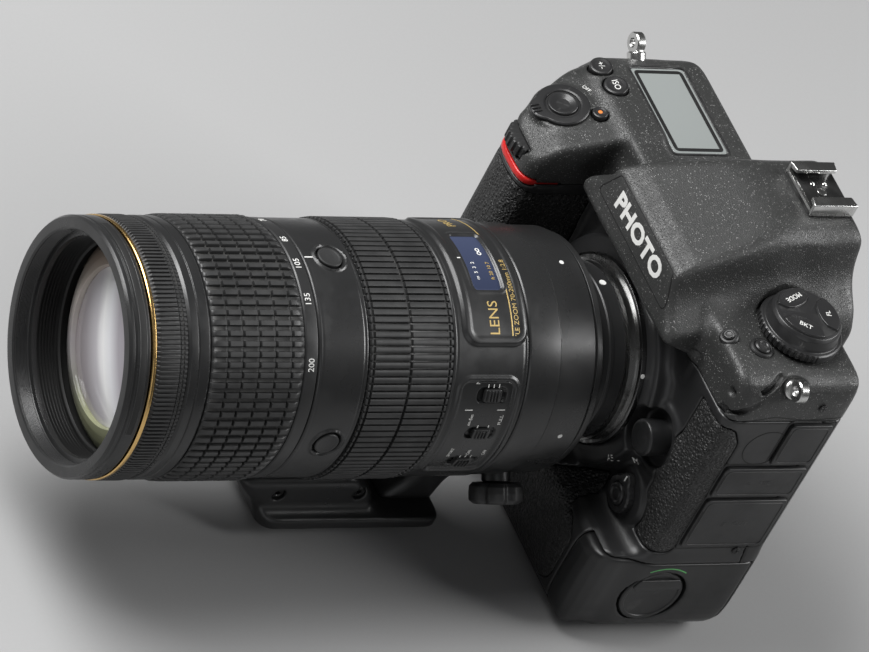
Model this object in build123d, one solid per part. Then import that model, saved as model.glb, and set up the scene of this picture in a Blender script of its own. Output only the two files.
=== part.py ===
from build123d import *
import math
import os

# Single-lens reflex camera with a vertical grip and a telephoto zoom lens.
# Millimetres. +Z up, the lens points along -Y, +X is the photographer's left hand side.
# The origin is the mouth of the tripod socket, in the middle of the base.

# ---------------------------------------------------------------- driving dimensions
axis_height = 78.0  # optical axis above the base
flange_to_socket = 20.0  # lens flange in front of the tripod socket
body_left = -91.0  # hand grip side
body_right = 67.0  # connector side
body_front = -11.0  # flat front of the casing
body_rear = 40.0  # back of the casing
grip_front = -44.0  # nose of the hand grip
grip_width = 46.0
lower_front = -29.5  # battery block
lower_height = 43.0
lower_rear = 36.0
upright_front = -41.0  # second hand grip, for shots held upright
upright_height = 40.0
right_shoulder = 136.5  # top of the casing over the hand grip
left_shoulder = 131.0  # top of the casing under the release dial
middle_top = 126.0  # top of the casing where the other covers stand on it
prism_top = 155.5
hump_rear = 49.0  # back of the viewfinder housing
shoe_height = 3.0
lens_length = 202.5  # flange to front rim
wall = 2.4
rubber = 1.0  # covering on the grips
fit = 0.3  # running clearance between parts that move on each other
button_gap = 0.25
press = 1.0  # travel of a push button

flange_y = -flange_to_socket
edge = 6.0  # general rounding of the casing
shoulder_round = 12.5
end_round = 25.0  # lower corner on the battery side
corner = 12.0  # lower corner on the other side

# splits between the covers
top_split = 112.0
rear_split = 30.0
base_split = 7.0
door_split = 51.0  # battery door face

lens = Plane(origin=(0, flange_y, axis_height), x_dir=(1, 0, 0), z_dir=(0, -1, 0))
out = "parts"
os.makedirs(out, exist_ok=True)
LOW = (Align.CENTER, Align.CENTER, Align.MIN)


# ---------------------------------------------------------------- helpers
def block(x0, x1, y0, y1, z0, z1):
    """Box between two corners."""
    return Pos((x0 + x1) / 2, (y0 + y1) / 2, (z0 + z1) / 2) * Box(x1 - x0, y1 - y0, z1 - z0)


def turned(*profile):
    """Solid of revolution about the lens axis. The profile is (radius, distance ahead of the flange)."""
    face = make_face(Polyline([(r, 0, s) for r, s in profile], close=True))
    return lens * revolve(face, Axis.Z, 360)


def ring(r_out, r_in, near, far):
    """Plain ring about the lens axis between two distances ahead of the flange."""
    return turned((r_in, near), (r_out, near), (r_out, far), (r_in, far))


def radial(angle, radius, station):
    """Place on the barrel: angle from the top towards +X, z outwards, y towards the flange."""
    return lens.location * Rot(0, 0, -angle) * Pos(0, radius, station) * Rot(-90, 0, 0)


def cylinder_at(location, radius, low, high):
    """Round bar along z of the location, between two heights."""
    return location * Pos(0, 0, low) * Cylinder(radius, high - low, align=LOW)


def outline(corners, inset):
    """Flat shape whose corners are (a, b, radius), drawn inset millimetres inside its own line."""
    shape = make_face(Polyline([(a, b) for a, b, r in corners], close=True))
    for a, b, r in corners:
        shape = fillet(shape.vertices().sort_by_distance((a, b, 0))[0], r)
    if inset > 0:
        shape = offset(shape, -inset, kind=Kind.INTERSECTION)
    return shape


reach = 300.0  # longer than anything in the model


def crossed(inset, front=None, side=None, plan=None):
    """Solid where a front outline (x, z), a side outline (y, z) and a plan outline (x, y) all meet."""
    solid = None
    views = (
        (front, Plane(origin=(0, 0, 0), x_dir=(1, 0, 0), z_dir=(0, -1, 0))),
        (side, Plane(origin=(0, 0, 0), x_dir=(0, 1, 0), z_dir=(1, 0, 0))),
        (plan, Plane.XY),
    )
    for corners, plane in views:
        if corners:
            bar = plane * extrude(outline(corners, inset), reach, both=True)
            solid = bar if solid is None else solid & bar
    return solid


def save(node, *solids):
    """Writes one node. Each node is one solid, or a group of separate solids."""
    loose = []
    for s in solids:
        loose += s.solids()
    export_step(Compound(children=loose) if len(loose) > 1 else loose[0], f"{out}/{node}.step")


# ---------------------------------------------------------------- outer form of the casing
slope = 15.0  # the grip's top falls forward
slope_start = -4.0
prism_half = 38.0
nameplate_y = flange_y - 6.5
nameplate_low = axis_height + 42.0
nameplate_high = axis_height + 66.0
boss_radius = 40.0
mount_ring_radius = 33.5
mount_ring_depth = 2.4


def top_of_slope(y):
    """Height of the hand grip's sloping top at y."""
    return right_shoulder - (slope_start - y) * math.tan(math.radians(slope))


def hand_grip(i):
    """Right hand grip: a column with a slanted outer side, whose top slopes forward."""
    inner = body_left + grip_width
    plan = [
        (body_left, 20, 7),
        (body_left, -4, 18),
        (body_left + 25, grip_front, 12),
        (inner, grip_front, 13.5),
        (inner, 20, 7),
    ]
    side = [
        (grip_front - 4, 10, 4),
        (24, 10, 4),
        (24, right_shoulder, 4),
        (slope_start, right_shoulder, 30),
        (-34, top_of_slope(-34), 14),
        (grip_front, top_of_slope(-34) - 9, 6),
    ]
    front = [
        (body_left - 1, 10, 5),
        (inner + 1, 10, 5),
        (inner + 1, right_shoulder, 5.5),
        (body_left + 14, right_shoulder, 25),
        (body_left - 1, right_shoulder - 11, 10),
    ]
    return crossed(i, front=front, side=side, plan=plan)


def prism_hump(i):
    """Pentaprism housing: front outline crossed with side outline."""
    base = top_split - 10
    front = [
        (-prism_half, base, 5),
        (-prism_half, right_shoulder - 10, 9),
        (-17, prism_top, 12),
        (17, prism_top, 12),
        (prism_half, middle_top, 9),
        (prism_half, base, 5),
    ]
    side = [
        (body_front, base, 3),
        (body_front, nameplate_low - 7, 3),
        (nameplate_y, nameplate_low, 3),
        (nameplate_y + 1.5, nameplate_high - 4, 4),
        (nameplate_y + 9, nameplate_high, 8),
        (17, prism_top, 30),
        (hump_rear, prism_top, 6),
        (hump_rear, base, 3),
    ]
    return crossed(i, front=front, side=side)


def outer_form(i):
    """The whole casing as one closed solid, i millimetres inside the real surface."""
    main = crossed(
        i,
        front=[
            (body_left, 0, corner),
            (body_right, 0, end_round),
            (body_right, left_shoulder, shoulder_round),
            (5, left_shoulder, 4),
            (-5, middle_top, 4),
            (body_left, middle_top, 4),
        ],
        side=[
            (body_front, 0, edge),
            (body_rear, 0, edge),
            (body_rear, left_shoulder, edge),
            (body_front, left_shoulder, edge),
        ],
        plan=[
            (body_left, body_front, 7),
            (body_right, body_front, 9),
            (body_right, body_rear, 8),
            (body_left, body_rear, 10),
        ],
    )
    shoulder = crossed(
        i,
        front=[
            (body_left, top_split - 20, 4),
            (-28, top_split - 20, 4),
            (-28, right_shoulder, 4),
            (body_left, right_shoulder, 10),
        ],
        side=[
            (body_front, top_split - 20, 5),
            (body_rear, top_split - 20, 5),
            (body_rear, right_shoulder, 9),
            (body_front, right_shoulder, 5),
        ],
        plan=[
            (body_left, body_front, 6),
            (-28, body_front, 6),
            (-28, body_rear, 6),
            (body_left, body_rear, 14),
        ],
    )
    lower = crossed(
        i,
        front=[
            (body_left, 0, corner),
            (body_right - 1, 0, end_round),
            (body_right - 1, lower_height, 5),
            (body_left, lower_height, 5),
        ],
        side=[
            (lower_front, 0, 20),
            (lower_rear, 0, edge),
            (lower_rear, lower_height, 4),
            (lower_front, lower_height, 13),
        ],
        plan=[
            (body_left, lower_front, 10),
            (body_right - 1, lower_front + 1.5, 14),
            (body_right - 1, lower_rear, 7),
            (body_left, lower_rear, 7),
        ],
    )
    upright_grip = crossed(
        i,
        front=[
            (body_left, 0, corner),
            (-22, 0, 11),
            (-22, upright_height, 11),
            (body_left, upright_height, 5),
        ],
        side=[
            (upright_front, 0, 14),
            (20, 0, 4),
            (20, upright_height, 4),
            (upright_front, upright_height, 13),
        ],
        plan=[
            (body_left, upright_front, 16),
            (-22, upright_front, 15),
            (-22, 20, 6),
            (body_left, 20, 6),
        ],
    )
    boss = cylinder_at(lens.location, boss_radius - i, -14, -mount_ring_depth - i)
    return main + shoulder + lower + upright_grip + hand_grip(i) + prism_hump(i) + boss


outside = outer_form(0)
under_rubber = outer_form(rubber)
cavity = outer_form(wall)
skin = outside - cavity
covering = outside - under_rubber

# ---------------------------------------------------------------- places of the controls
# Hand grip top: x, y and radius of each round control, on the sloping face.
shutter_x, shutter_y = -64.8, -26.8
power_radius = 9.7
shutter_radius = 5.5
lever_gap = 0.6  # between the button and the lever turning round it
top_buttons = {  # node: x, y, radius
    "exposure_button": (-79.5, -7.0, 4.1),
    "iso_button": (-69.5, -5.4, 4.4),
    "record_button": (-58.5, -15.5, 2.8),
}
dial_x, dial_y = 42.0, 21.0
dial_radius = 15.2
dial_top = 140.0
dial_band = 3.0  # straight part of the dial's side
dial_buttons = {  # node: angle about the dial
    "mode_button": 205.0,
    "bracket_button": 325.0,
    "flash_button": 85.0,
}
release_x, release_z, release_radius = 42.5, 79.0, 6.4
selector_x, selector_z, selector_radius = 43.0, 51.0, 6.8
front_dial_x, front_dial_z, front_dial_radius, front_dial_width = -60.0, 118.5, 9.0, 5.0
front_dial_y = grip_front + front_dial_radius - 1.3
rear_dial_x, rear_dial_z, rear_dial_radius, rear_dial_width = -68.0, 121.0, 9.0, 6.0
rear_dial_y = body_rear - rear_dial_radius + 1.6


def on_slope(x, y):
    """Location on the grip's sloping top, z along its normal."""
    return Pos(x, y, top_of_slope(y)) * Rot(slope, 0, 0)


# ---------------------------------------------------------------- controls on the hand grip
power_place = on_slope(shutter_x, shutter_y)
save(
    "shutter_button",
    cylinder_at(power_place, shutter_radius, -4.0, 2.6),
)
lever_ring = cylinder_at(power_place, power_radius, 0.3, 1.5)
lever_ring -= cylinder_at(power_place, shutter_radius + lever_gap, 0, 3)
lever_tab = power_place * Pos(0, -power_radius + 0.6, 0.3 + 1.3) * Box(7, 4.6, 2.6)
lever_tab -= cylinder_at(power_place, shutter_radius + lever_gap, -1, 6)
save("power_lever", lever_ring + lever_tab)
skin -= cylinder_at(power_place, shutter_radius + button_gap, -12, 6)

for node, (x, y, r) in top_buttons.items():
    place = on_slope(x, y)
    cap = cylinder_at(place, r, -3.5, 1.6)
    save(node, fillet(cap.edges().filter_by(GeomType.CIRCLE).sort_by(Axis.Z)[-1:], 0.5))
    skin -= cylinder_at(place, r + button_gap, -12, 6)


def command_dial(x, y, z, radius, width, teeth):
    """Knurled thumb wheel turning about Z."""
    wheel = Cylinder(radius, width)
    notch = Pos(radius + 0.35, 0, 0) * Cylinder(0.8, width + 1)
    for k in range(teeth):
        wheel -= Rot(0, 0, 360 * k / teeth) * notch
    return Pos(x, y, z) * (wheel - Cylinder(1.5 + 0.05, width + 1))


def dial_pocket(x, y, z, radius, width):
    """Space that a thumb wheel turns in."""
    return Pos(x, y, z) * Cylinder(radius + fit, width + 2 * fit)


save(
    "front_dial",
    command_dial(front_dial_x, front_dial_y, front_dial_z, front_dial_radius, front_dial_width, 22),
)
save(
    "rear_dial",
    command_dial(rear_dial_x, rear_dial_y, rear_dial_z, rear_dial_radius, rear_dial_width, 22),
)
skin -= dial_pocket(front_dial_x, front_dial_y, front_dial_z, front_dial_radius, front_dial_width)
skin -= dial_pocket(rear_dial_x, rear_dial_y, rear_dial_z, rear_dial_radius, rear_dial_width)

# ---------------------------------------------------------------- release mode dial
dial_base = left_shoulder + fit
dial_body = Pos(dial_x, dial_y, dial_base) * Cylinder(dial_radius, dial_band, align=LOW)
dial_cap = Pos(dial_x, dial_y, dial_base + dial_band) * Cone(
    dial_radius, dial_radius - 2.4, dial_top - dial_base - dial_band, align=LOW
)
release_dial = dial_body + dial_cap
petal_in, petal_out, petal_gap = 2.6, 11.8, 1.6


def petal(angle, growth, low, high):
    """One third of a ring on top of the dial, grown sideways by growth."""
    place = Pos(dial_x, dial_y, 0) * Rot(0, 0, angle)
    disc = Pos(dial_x, dial_y, low) * Cylinder(petal_out + growth, high - low, align=LOW)
    disc -= Pos(dial_x, dial_y, low) * Cylinder(petal_in - growth, high - low, align=LOW)
    start = 2 * (petal_gap / 2 - growth) / math.sqrt(3)
    far = 60.0
    far_half = (far - start) * math.sqrt(3)
    wedge = make_face(Polyline((start, 0), (far, far_half), (far, -far_half), close=True))
    return disc & place * Pos(0, 0, low) * extrude(wedge, high - low)


for node, angle in dial_buttons.items():
    save(node, petal(angle, 0, dial_top - 3.0, dial_top + 0.7))
    release_dial -= petal(angle, button_gap, dial_top - 3.0 - press - 0.2, dial_top + 3)
skin -= Pos(dial_x, dial_y, left_shoulder) * Cylinder(dial_radius + fit + 0.3, 60, align=LOW)
save("release_dial", release_dial)

# ---------------------------------------------------------------- front controls
def facing_front(x, z, y):
    """Location on a front face, z pointing forwards."""
    return Plane(origin=(x, y, z), x_dir=(1, 0, 0), z_dir=(0, -1, 0)).location


release_place = facing_front(release_x, release_z, body_front)
save("lens_release", cylinder_at(release_place, release_radius, -3.0, 7.0))
skin -= cylinder_at(release_place, release_radius + button_gap, -9, 1)
skin -= cylinder_at(release_place, release_radius + button_gap, -1, 12)

selector_place = facing_front(selector_x, selector_z, body_front)
button_radius = 4.0
selector = cylinder_at(selector_place, selector_radius, 0.2, 3.4)
selector += selector_place * Pos(0, 6.6, 1.8) * Box(3.2, 5.0, 3.2)
selector -= cylinder_at(selector_place, button_radius + button_gap, -1, 5)
save("focus_selector", selector)
save("focus_mode_button", cylinder_at(selector_place, button_radius, -3.5, 4.2))
skin -= cylinder_at(selector_place, button_radius + button_gap, -9, 5)

# ---------------------------------------------------------------- lens mount on the body
throat = 22.0
lip_depth = 1.3
mount_ring = ring(mount_ring_radius, throat + 2, -mount_ring_depth, 0)
lip = ring(throat + 2.2, throat, -lip_depth, 0)
for k in range(3):
    wedge = lens * Rot(0, 0, 120 * k) * Pos(0, 0, -5) * extrude(
        make_face(Polyline((0, 0), (60, 34.6), (60, -34.6), close=True)), 10
    )
    mount_ring += lip & wedge
screw_circle = 28.6
screw_head = 2.1
mount_screws = []
for k in range(5):
    place = lens.location * Rot(0, 0, 36 + 72 * k) * Pos(0, screw_circle, 0)
    hole = cylinder_at(place, screw_head, -mount_ring_depth + 0.6, 1)
    hole += cylinder_at(place, 1.0, -mount_ring_depth - 1, 1)
    mount_ring -= hole
    head = cylinder_at(place, screw_head - 0.05, -mount_ring_depth + 0.6, -0.3)
    head += cylinder_at(place, 0.95, -mount_ring_depth - 4.0, -1.0)
    skin -= cylinder_at(place, 0.95 + 0.05, -12, 0)
    mount_screws.append(head)
save("lens_mount_ring", mount_ring)
skin -= ring(throat + 2, 0.01, -14.5, 5)

# ---------------------------------------------------------------- battery, its door and latch
battery_size = (82.5, 56.5, 27.0)
battery_low = 10.5
battery_y0 = -23.2
door_gap = 0.25
battery = block(
    door_split - battery_size[0],
    door_split,
    battery_y0,
    battery_y0 + battery_size[1],
    battery_low,
    battery_low + battery_size[2],
)
save("battery", fillet(battery.edges().filter_by(Axis.X), 3.0))
door = outside & block(door_split, body_right + 5, grip_front - 5, lower_rear, -5, lower_height - 2)
latch_y, latch_z, latch_radius, latch_depth = 2.0, 24.0, 12.0, 2.6
latch_place = Plane(
    origin=(body_right, latch_y, latch_z), x_dir=(0, 1, 0), z_dir=(1, 0, 0)
).location
door -= cylinder_at(latch_place, latch_radius + 0.8, -latch_depth - fit, 2)
door -= cylinder_at(latch_place, 2.5 + 0.05, -latch_depth - 4, 2)
save("battery_door", door)
latch = cylinder_at(latch_place, latch_radius, -latch_depth, -0.2)
latch -= latch_place * Pos(0, 6.5, 0) * Box(17, 5, 3.0)
latch += cylinder_at(latch_place, 2.5, -latch_depth - 3.5, -latch_depth)
save("battery_latch", latch)
door_room = block(
    door_split - door_gap, body_right + 5,
    grip_front - 5, lower_rear + door_gap,
    -5, lower_height - 2 + door_gap,
)
skin -= door_room
covering -= door_room

# ---------------------------------------------------------------- connector covers and card door
cover_thickness = 1.6
covers = {  # node: y0, y1, z0, z1
    "usb_cover": (17.5, 34.5, 91.5, 111.0),
    "audio_cover": (1.0, 34.5, 75.5, 89.5),
    "network_cover": (1.0, 34.5, 50.0, 73.5),
}
hinge_round = 1.5
for node, (y0, y1, z0, z1) in covers.items():
    plate = block(body_right - cover_thickness, body_right + 0.5, y0, y1, z0, z1)
    plate = fillet(plate.edges().filter_by(Axis.X), hinge_round)
    pocket = block(
        body_right - cover_thickness - button_gap, body_right + 2,
        y0 - button_gap, y1 + button_gap, z0 - button_gap, z1 + button_gap,
    )
    skin -= fillet(pocket.edges().filter_by(Axis.X), hinge_round + button_gap)
    save(node, plate)

card_y0, card_y1, card_z0, card_z1 = 6.0, 32.0, 52.0, 104.0
card_door = block(body_left - 0.5, body_left + cover_thickness, card_y0, card_y1, card_z0, card_z1)
save("card_door", fillet(card_door.edges().filter_by(Axis.X), 2.0))
card_pocket = block(
    body_left - 2, body_left + cover_thickness + button_gap,
    card_y0 - button_gap, card_y1 + button_gap, card_z0 - button_gap, card_z1 + button_gap,
)
skin -= fillet(card_pocket.edges().filter_by(Axis.X), 2.0 + button_gap)

# ---------------------------------------------------------------- rear controls and windows
eyepiece_z = axis_height + 44.0
monitor = (-37.0, 37.0, 44.0, 95.0)  # x0, x1, z0, z1
info = (-26.0, 26.0, 20.0, 33.0)
window_depth = 1.2


def rear_window(x0, x1, z0, z1, rear):
    return block(x0, x1, rear - window_depth, rear + 0.3, z0, z1)


def pocket_of(x0, x1, z0, z1, rear):
    return block(x0, x1, rear - window_depth, rear + 3, z0, z1)


skin -= pocket_of(*monitor, body_rear)
skin -= pocket_of(*info, lower_rear)
skin -= pocket_of(*info, body_rear)
display = (-80.0, -37.0, 4.0, 27.5)  # top display: x0, x1, y0, y1
top_display = block(
    display[0], display[1], display[2], display[3], right_shoulder - window_depth, right_shoulder
)
skin -= block(
    display[0], display[1], display[2], display[3], right_shoulder - window_depth, right_shoulder + 3
)
save(
    "display_windows",
    rear_window(*monitor, body_rear),
    rear_window(*info, body_rear),
    top_display,
)

pad_place = Plane(origin=(-60, body_rear, 80), x_dir=(-1, 0, 0), z_dir=(0, 1, 0)).location
pad_radius = 9.0
save("multi_selector", cylinder_at(pad_place, pad_radius, -3.0, 1.8))
skin -= cylinder_at(pad_place, pad_radius + button_gap, -9, 4)

eyepiece_place = Plane(
    origin=(0, hump_rear, eyepiece_z), x_dir=(-1, 0, 0), z_dir=(0, 1, 0)
).location
eye_out, eye_in = 16.0, 11.5
eyepiece = cylinder_at(eyepiece_place, eye_out, 0, 4.0) - cylinder_at(eyepiece_place, eye_in, -1, 6)
save("eyepiece_frame", eyepiece)
skin -= cylinder_at(eyepiece_place, eye_in, -12, 2)

# ---------------------------------------------------------------- accessory shoe and strap lugs
shoe_y = flange_y + 57.5
shoe_width, shoe_length, shoe_slot = 21.4, 18.0, 18.7
shoe = block(-shoe_width / 2, shoe_width / 2, shoe_y - shoe_length / 2, shoe_y + shoe_length / 2,
             prism_top, prism_top + shoe_height + 1.6)
shoe -= block(-shoe_slot / 2, shoe_slot / 2, shoe_y - 20, shoe_y + 20, prism_top + 0.9, prism_top + 3.0)
shoe_mouth = 6.4  # half of the opening between the two rails
shoe_end = shoe_y + shoe_length / 2
shoe -= block(-shoe_mouth, shoe_mouth, shoe_y - 20, shoe_y + 20, prism_top + 0.9, prism_top + 9)
shoe -= block(-shoe_mouth, shoe_mouth, shoe_end - 16.5, shoe_end - 2, prism_top - 1, prism_top + 2)
save("accessory_shoe", shoe)
lug_bore = 2.1
lug_thickness = 3.0


def strap_lug(place):
    """Metal ear: a round post with a flat eye. z of the place points out of the casing."""
    post = cylinder_at(place, 3.4, -4, 1.6)
    eye = place * Pos(0, 0, 4.6) * Rot(90, 0, 0) * Cylinder(3.9, lug_thickness)
    neck = place * Pos(0, 0, 2.6) * Box(5.8, lug_thickness, 4.0)
    hole = place * Pos(0, 0, 4.6) * Rot(90, 0, 0) * Cylinder(lug_bore, 10)
    return post + eye + neck - hole, cylinder_at(place, 3.4, -12, 3)


lug_places = {
    "left": Pos(body_right - 3.2, 11.0, left_shoulder - 5.2) * Rot(0, 52, 0),
    "right": Pos(body_left + 2.4, 13.0, right_shoulder - 3.0) * Rot(0, -45, 0),
    "bottom": Pos(body_left, -6.0, 24.0) * Rot(0, -90, 0),
}
lugs = []
for place in lug_places.values():
    lug, socket = strap_lug(place)
    lugs.append(lug)
    skin -= socket
    covering -= socket
save("strap_lugs", *lugs)

# ---------------------------------------------------------------- red accent under the front dial
accent_low, accent_high = 110.5, 113.5
accent = covering & block(
    body_left + 8, body_left + grip_width - 2, grip_front - 2, grip_front + 16, accent_low, accent_high
)
save("grip_accent", accent.solids().sort_by(SortBy.VOLUME)[-1])
skin -= accent

# ---------------------------------------------------------------- round caps in front of the release dial
cap_places = {  # name: location with z out of the casing, radius
    "upper": (Pos(49.5, 3.0, left_shoulder) * Rot(0, 4, 0), 2.9),
    "front": (Pos(43.6, body_front + 3.6, left_shoulder - 0.6) * Rot(28, 0, 0), 1.9),
}
caps = []
for place, cap_radius in cap_places.values():
    caps.append(cylinder_at(place, cap_radius, -wall - 1, 1.3))
    skin -= cylinder_at(place, cap_radius, -12, 3)
save("terminal_caps", *caps)

# ---------------------------------------------------------------- rubber covering
grip_zone = block(body_left - 1, body_left + grip_width + 1, grip_front - 1, 4, lower_height + 5, 109.0)
grip_zone -= block(body_left + 20, 0, body_front - 1, 5, 0, 120)
lower_zone = block(-40, door_split - 2, lower_front - 1, body_front + 2, 9, 70)
lower_zone -= ring(boss_radius + 2, 0.01, -60, 10)
lower_zone -= cylinder_at(selector_place, selector_radius + 4, -20, 20)
side_zone = block(52, body_right + 1, body_front - 1, 0.4, 46, 108)
pads = []
for zone in (grip_zone, lower_zone, side_zone):
    pad = covering & zone
    pads.append(pad.solids().sort_by(SortBy.VOLUME)[-1])
for pad in pads:
    skin -= pad
save("grip_covering", *pads)

# ---------------------------------------------------------------- casing covers
big = 300
above = block(-big, big, -big, big, top_split, big)
behind = block(-big, big, rear_split, big, base_split, top_split)
beneath = block(-big, big, -big, big, -10, base_split)
top_cover = skin & above
rear_cover = skin & behind
base_plate = skin & beneath
front_shell = skin & block(-big, big, -big, rear_split, base_split, top_split)

socket_radius, socket_depth = 3.175, 6.0
base_plate += Cylinder(9.0, socket_depth + 1.2, align=LOW)
base_plate -= Cylinder(socket_radius, socket_depth, align=LOW)


def main_solid(shape):
    """The cover without any crumb that a cut has left."""
    return shape.solids().sort_by(SortBy.VOLUME)[-1]


# screws that hold the covers, with their sinks
casing_screws = []
side_screws = {"rear": (body_right, 26.0, 119.0), "low": (body_right, 26.0, 47.0)}
for x, y, z in side_screws.values():
    place = Plane(origin=(x, y, z), x_dir=(0, 1, 0), z_dir=(1, 0, 0)).location
    casing_screws.append(cylinder_at(place, 1.6, -1.2, -0.2))
    sink = cylinder_at(place, 1.6, -1.2, 1)
    top_cover -= sink
    front_shell -= sink
base_screws = [(-79, -20), (-79, 25), (40, 28), (40, -5), (-15, 28), (-15, -5)]
for x, y in base_screws:
    place = Plane(origin=(x, y, 0), x_dir=(1, 0, 0), z_dir=(0, 0, -1)).location
    casing_screws.append(cylinder_at(place, 1.8, -1.2, -0.1))
    base_plate -= cylinder_at(place, 1.8, -1.2, 1)
save("top_cover", main_solid(top_cover))
save("rear_cover", main_solid(rear_cover))
save("base_plate", main_solid(base_plate))
save("front_shell", main_solid(front_shell))
save("screws", *mount_screws, *casing_screws)

# ---------------------------------------------------------------- inside the body
box_half, box_low, box_high = 20.5, axis_height - 19.0, axis_height + 18.5
box_front, box_back = flange_y + 15.5, flange_y + 44.0
mirror_box = block(-box_half, box_half, box_front, box_back, box_low, box_high)
box_wall = 1.5
mirror_box -= block(
    -box_half + box_wall, box_half - box_wall, box_front - 1, box_back - 1.2, box_low + box_wall, box_high + 1
)
mirror_box -= block(-18, 18, box_front, box_back + 1, axis_height - 12, axis_height + 12)
save("mirror_box", mirror_box)

mirror_length, mirror_width, mirror_thickness = 25.0, 32.0, 1.2
pivot_y, pivot_z = flange_y + 41.0, axis_height + 15.0
mirror_place = Pos(0, pivot_y, pivot_z) * Rot(45, 0, 0)
mirror_half = mirror_width / 2
reflex_mirror = mirror_place * block(-mirror_half, mirror_half, -mirror_length, 0, -mirror_thickness, 0)
reflex_mirror += Pos(0, pivot_y, pivot_z) * Rot(0, 90, 0) * Cylinder(1.0, mirror_width)
save("reflex_mirror", reflex_mirror)

shutter_unit = block(-25, 25, box_back, box_back + 2.2, box_low, box_high + 3)
shutter_unit -= block(-18, 18, box_back - 1, box_back + 4, axis_height - 12, axis_height + 12)
curtain = block(-18, 18, box_back + 0.7, box_back + 1.5, axis_height - 12, axis_height + 12)
sensor_y = flange_y + 46.5
image_sensor = block(-22, 22, sensor_y, sensor_y + 2.5, axis_height - 16, axis_height + 16)
image_sensor += block(-18, 18, sensor_y - 0.3, sensor_y, axis_height - 12, axis_height + 12)
save("shutter_and_sensor", shutter_unit, curtain, image_sensor)

screen = block(-18, 18, flange_y + 16, flange_y + 42, box_high + 0.2, box_high + 1.8)
prism_side = Polyline(
    [
        (0, flange_y + 16, box_high + 2.2),
        (0, flange_y + 42, box_high + 2.2),
        (0, flange_y + 50, axis_height + 36),
        (0, flange_y + 50, axis_height + 52),
        (0, flange_y + 32, axis_height + 60),
        (0, flange_y + 16, axis_height + 48),
    ],
    close=True,
)
pentaprism = Pos(-15, 0, 0) * extrude(make_face(prism_side), 30, dir=(1, 0, 0))
eye_lens = cylinder_at(eyepiece_place, eye_in - fit, 0.6, 2.6)
save("viewfinder_optics", screen, pentaprism, eye_lens)

# ---------------------------------------------------------------- lens: stations ahead of the flange
tube_in = 37.0
ring_seat = 40.6  # fixed barrel under the turning rings
ring_in = ring_seat + fit
barrel_radius = 43.4
collar_near, collar_step, collar_far = 23.0, 38.0, 50.6
window_far = 80.6
focus_far = 113.0
middle_far = 132.2
zoom_far = 172.6
front_grip_near, front_grip_far = 181.0, 192.4
trim_station = 193.4
filter_radius, filter_depth = 38.5, 5.5
neck_radius = 30.6
collar_seat = 39.4

barrel_profile = [
    (22.6, 3.2),
    (neck_radius, 3.2),
    (neck_radius + 0.6, 18.0),
    (40.6, 20.0),
    (41.2, collar_near - fit),
    (collar_seat, collar_near - fit),
    (collar_seat, collar_far + fit),
    (barrel_radius, collar_far + fit),
    (barrel_radius, window_far),
    (ring_seat, window_far),
    (ring_seat, focus_far),
    (barrel_radius, focus_far),
    (barrel_radius, middle_far),
    (ring_seat, middle_far),
    (ring_seat, zoom_far),
    (43.6, zoom_far),
    (43.6, 178.0),
    (43.0, 180.6),
    (42.0, 180.6),
    (42.0, 194.6),
    (tube_in + 2.4, 194.6),
    (tube_in + 2.4, 190.0),
    (tube_in, 190.0),
    (tube_in, 60.0),
    (28.0, 22.0),
    (22.6, 12.0),
]
lens_barrel = turned(*barrel_profile)

button_station = 121.6
fn_radius = 4.6
fn_depth = 1.8
for k in range(4):
    button_place = radial(90 * k, barrel_radius, button_station)
    lens_barrel -= cylinder_at(button_place, fn_radius + 0.2, -fn_depth - 0.8, 3)
    rim = cylinder_at(button_place, fn_radius + 2.2, -1.5, 0.45)
    rim -= cylinder_at(button_place, fn_radius + 0.2, -3, 3)
    lens_barrel += rim
    button = cylinder_at(radial(90 * k, barrel_radius, button_station), fn_radius, -fn_depth, 0.5)
    save(f"focus_hold_button_{k + 1}", button)

# sliding switches on the left side of the barrel
switches = {"focus_switch": (65.0, 4.6), "limit_switch": (85.0, 3.8), "stabiliser_switch": (105.5, 4.2)}
switch_station = 63.5
switch_travel = 2.2
for node, (angle, width) in switches.items():
    place = radial(angle, barrel_radius, switch_station)
    slot = place * Box(width + 0.5, 6.4 + 2 * switch_travel + 0.5, 2 * 1.6)
    lens_barrel -= slot
    knob = place * Pos(0, 0, (1.2 - 1.4) / 2) * Box(width, 6.4, 1.2 + 1.4)
    save(node, knob)

# distance window: a curved glass in the top of the barrel
window_half_angle = 17.0
glass_near, glass_far = 59.0, 70.0  # distance window


def sector(half_angle, middle, r_out, r_in, near, far):
    """Part of a ring about the lens axis, centred on an angle from the top."""
    reach = 80.0
    half = reach * math.tan(math.radians(half_angle))
    wedge = lens * Rot(0, 0, -middle) * Pos(0, 0, near) * extrude(
        make_face(Polyline((0, 0), (half, reach), (-half, reach), close=True)), far - near
    )
    return ring(r_out, r_in, near, far) & wedge


save(
    "distance_window",
    sector(window_half_angle, 0, barrel_radius - 0.1, barrel_radius - 1.1, glass_near, glass_far),
)
lens_barrel -= sector(window_half_angle, 0, barrel_radius + 1, barrel_radius - 1.1, glass_near, glass_far)

# bayonet at the back of the lens
flange_ring = ring(neck_radius + 0.9, 20.0, 0, 3.2)
collar_tube = ring(throat - 0.4, 19.6, -4.0, 0.0)
bayonet = flange_ring + collar_tube
claw = ring(throat + 1.7, throat - 0.8, -lip_depth - 0.3 - 1.5, -lip_depth - 0.3)
for k in range(3):
    wedge = lens * Rot(0, 0, 120 * k) * Pos(0, 0, -8) * extrude(
        make_face(Polyline((0, 0), (60, 27), (60, -27), close=True)), 12
    )
    bayonet += claw & wedge
save("lens_bayonet", bayonet)
save("lens_barrel", lens_barrel)

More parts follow.
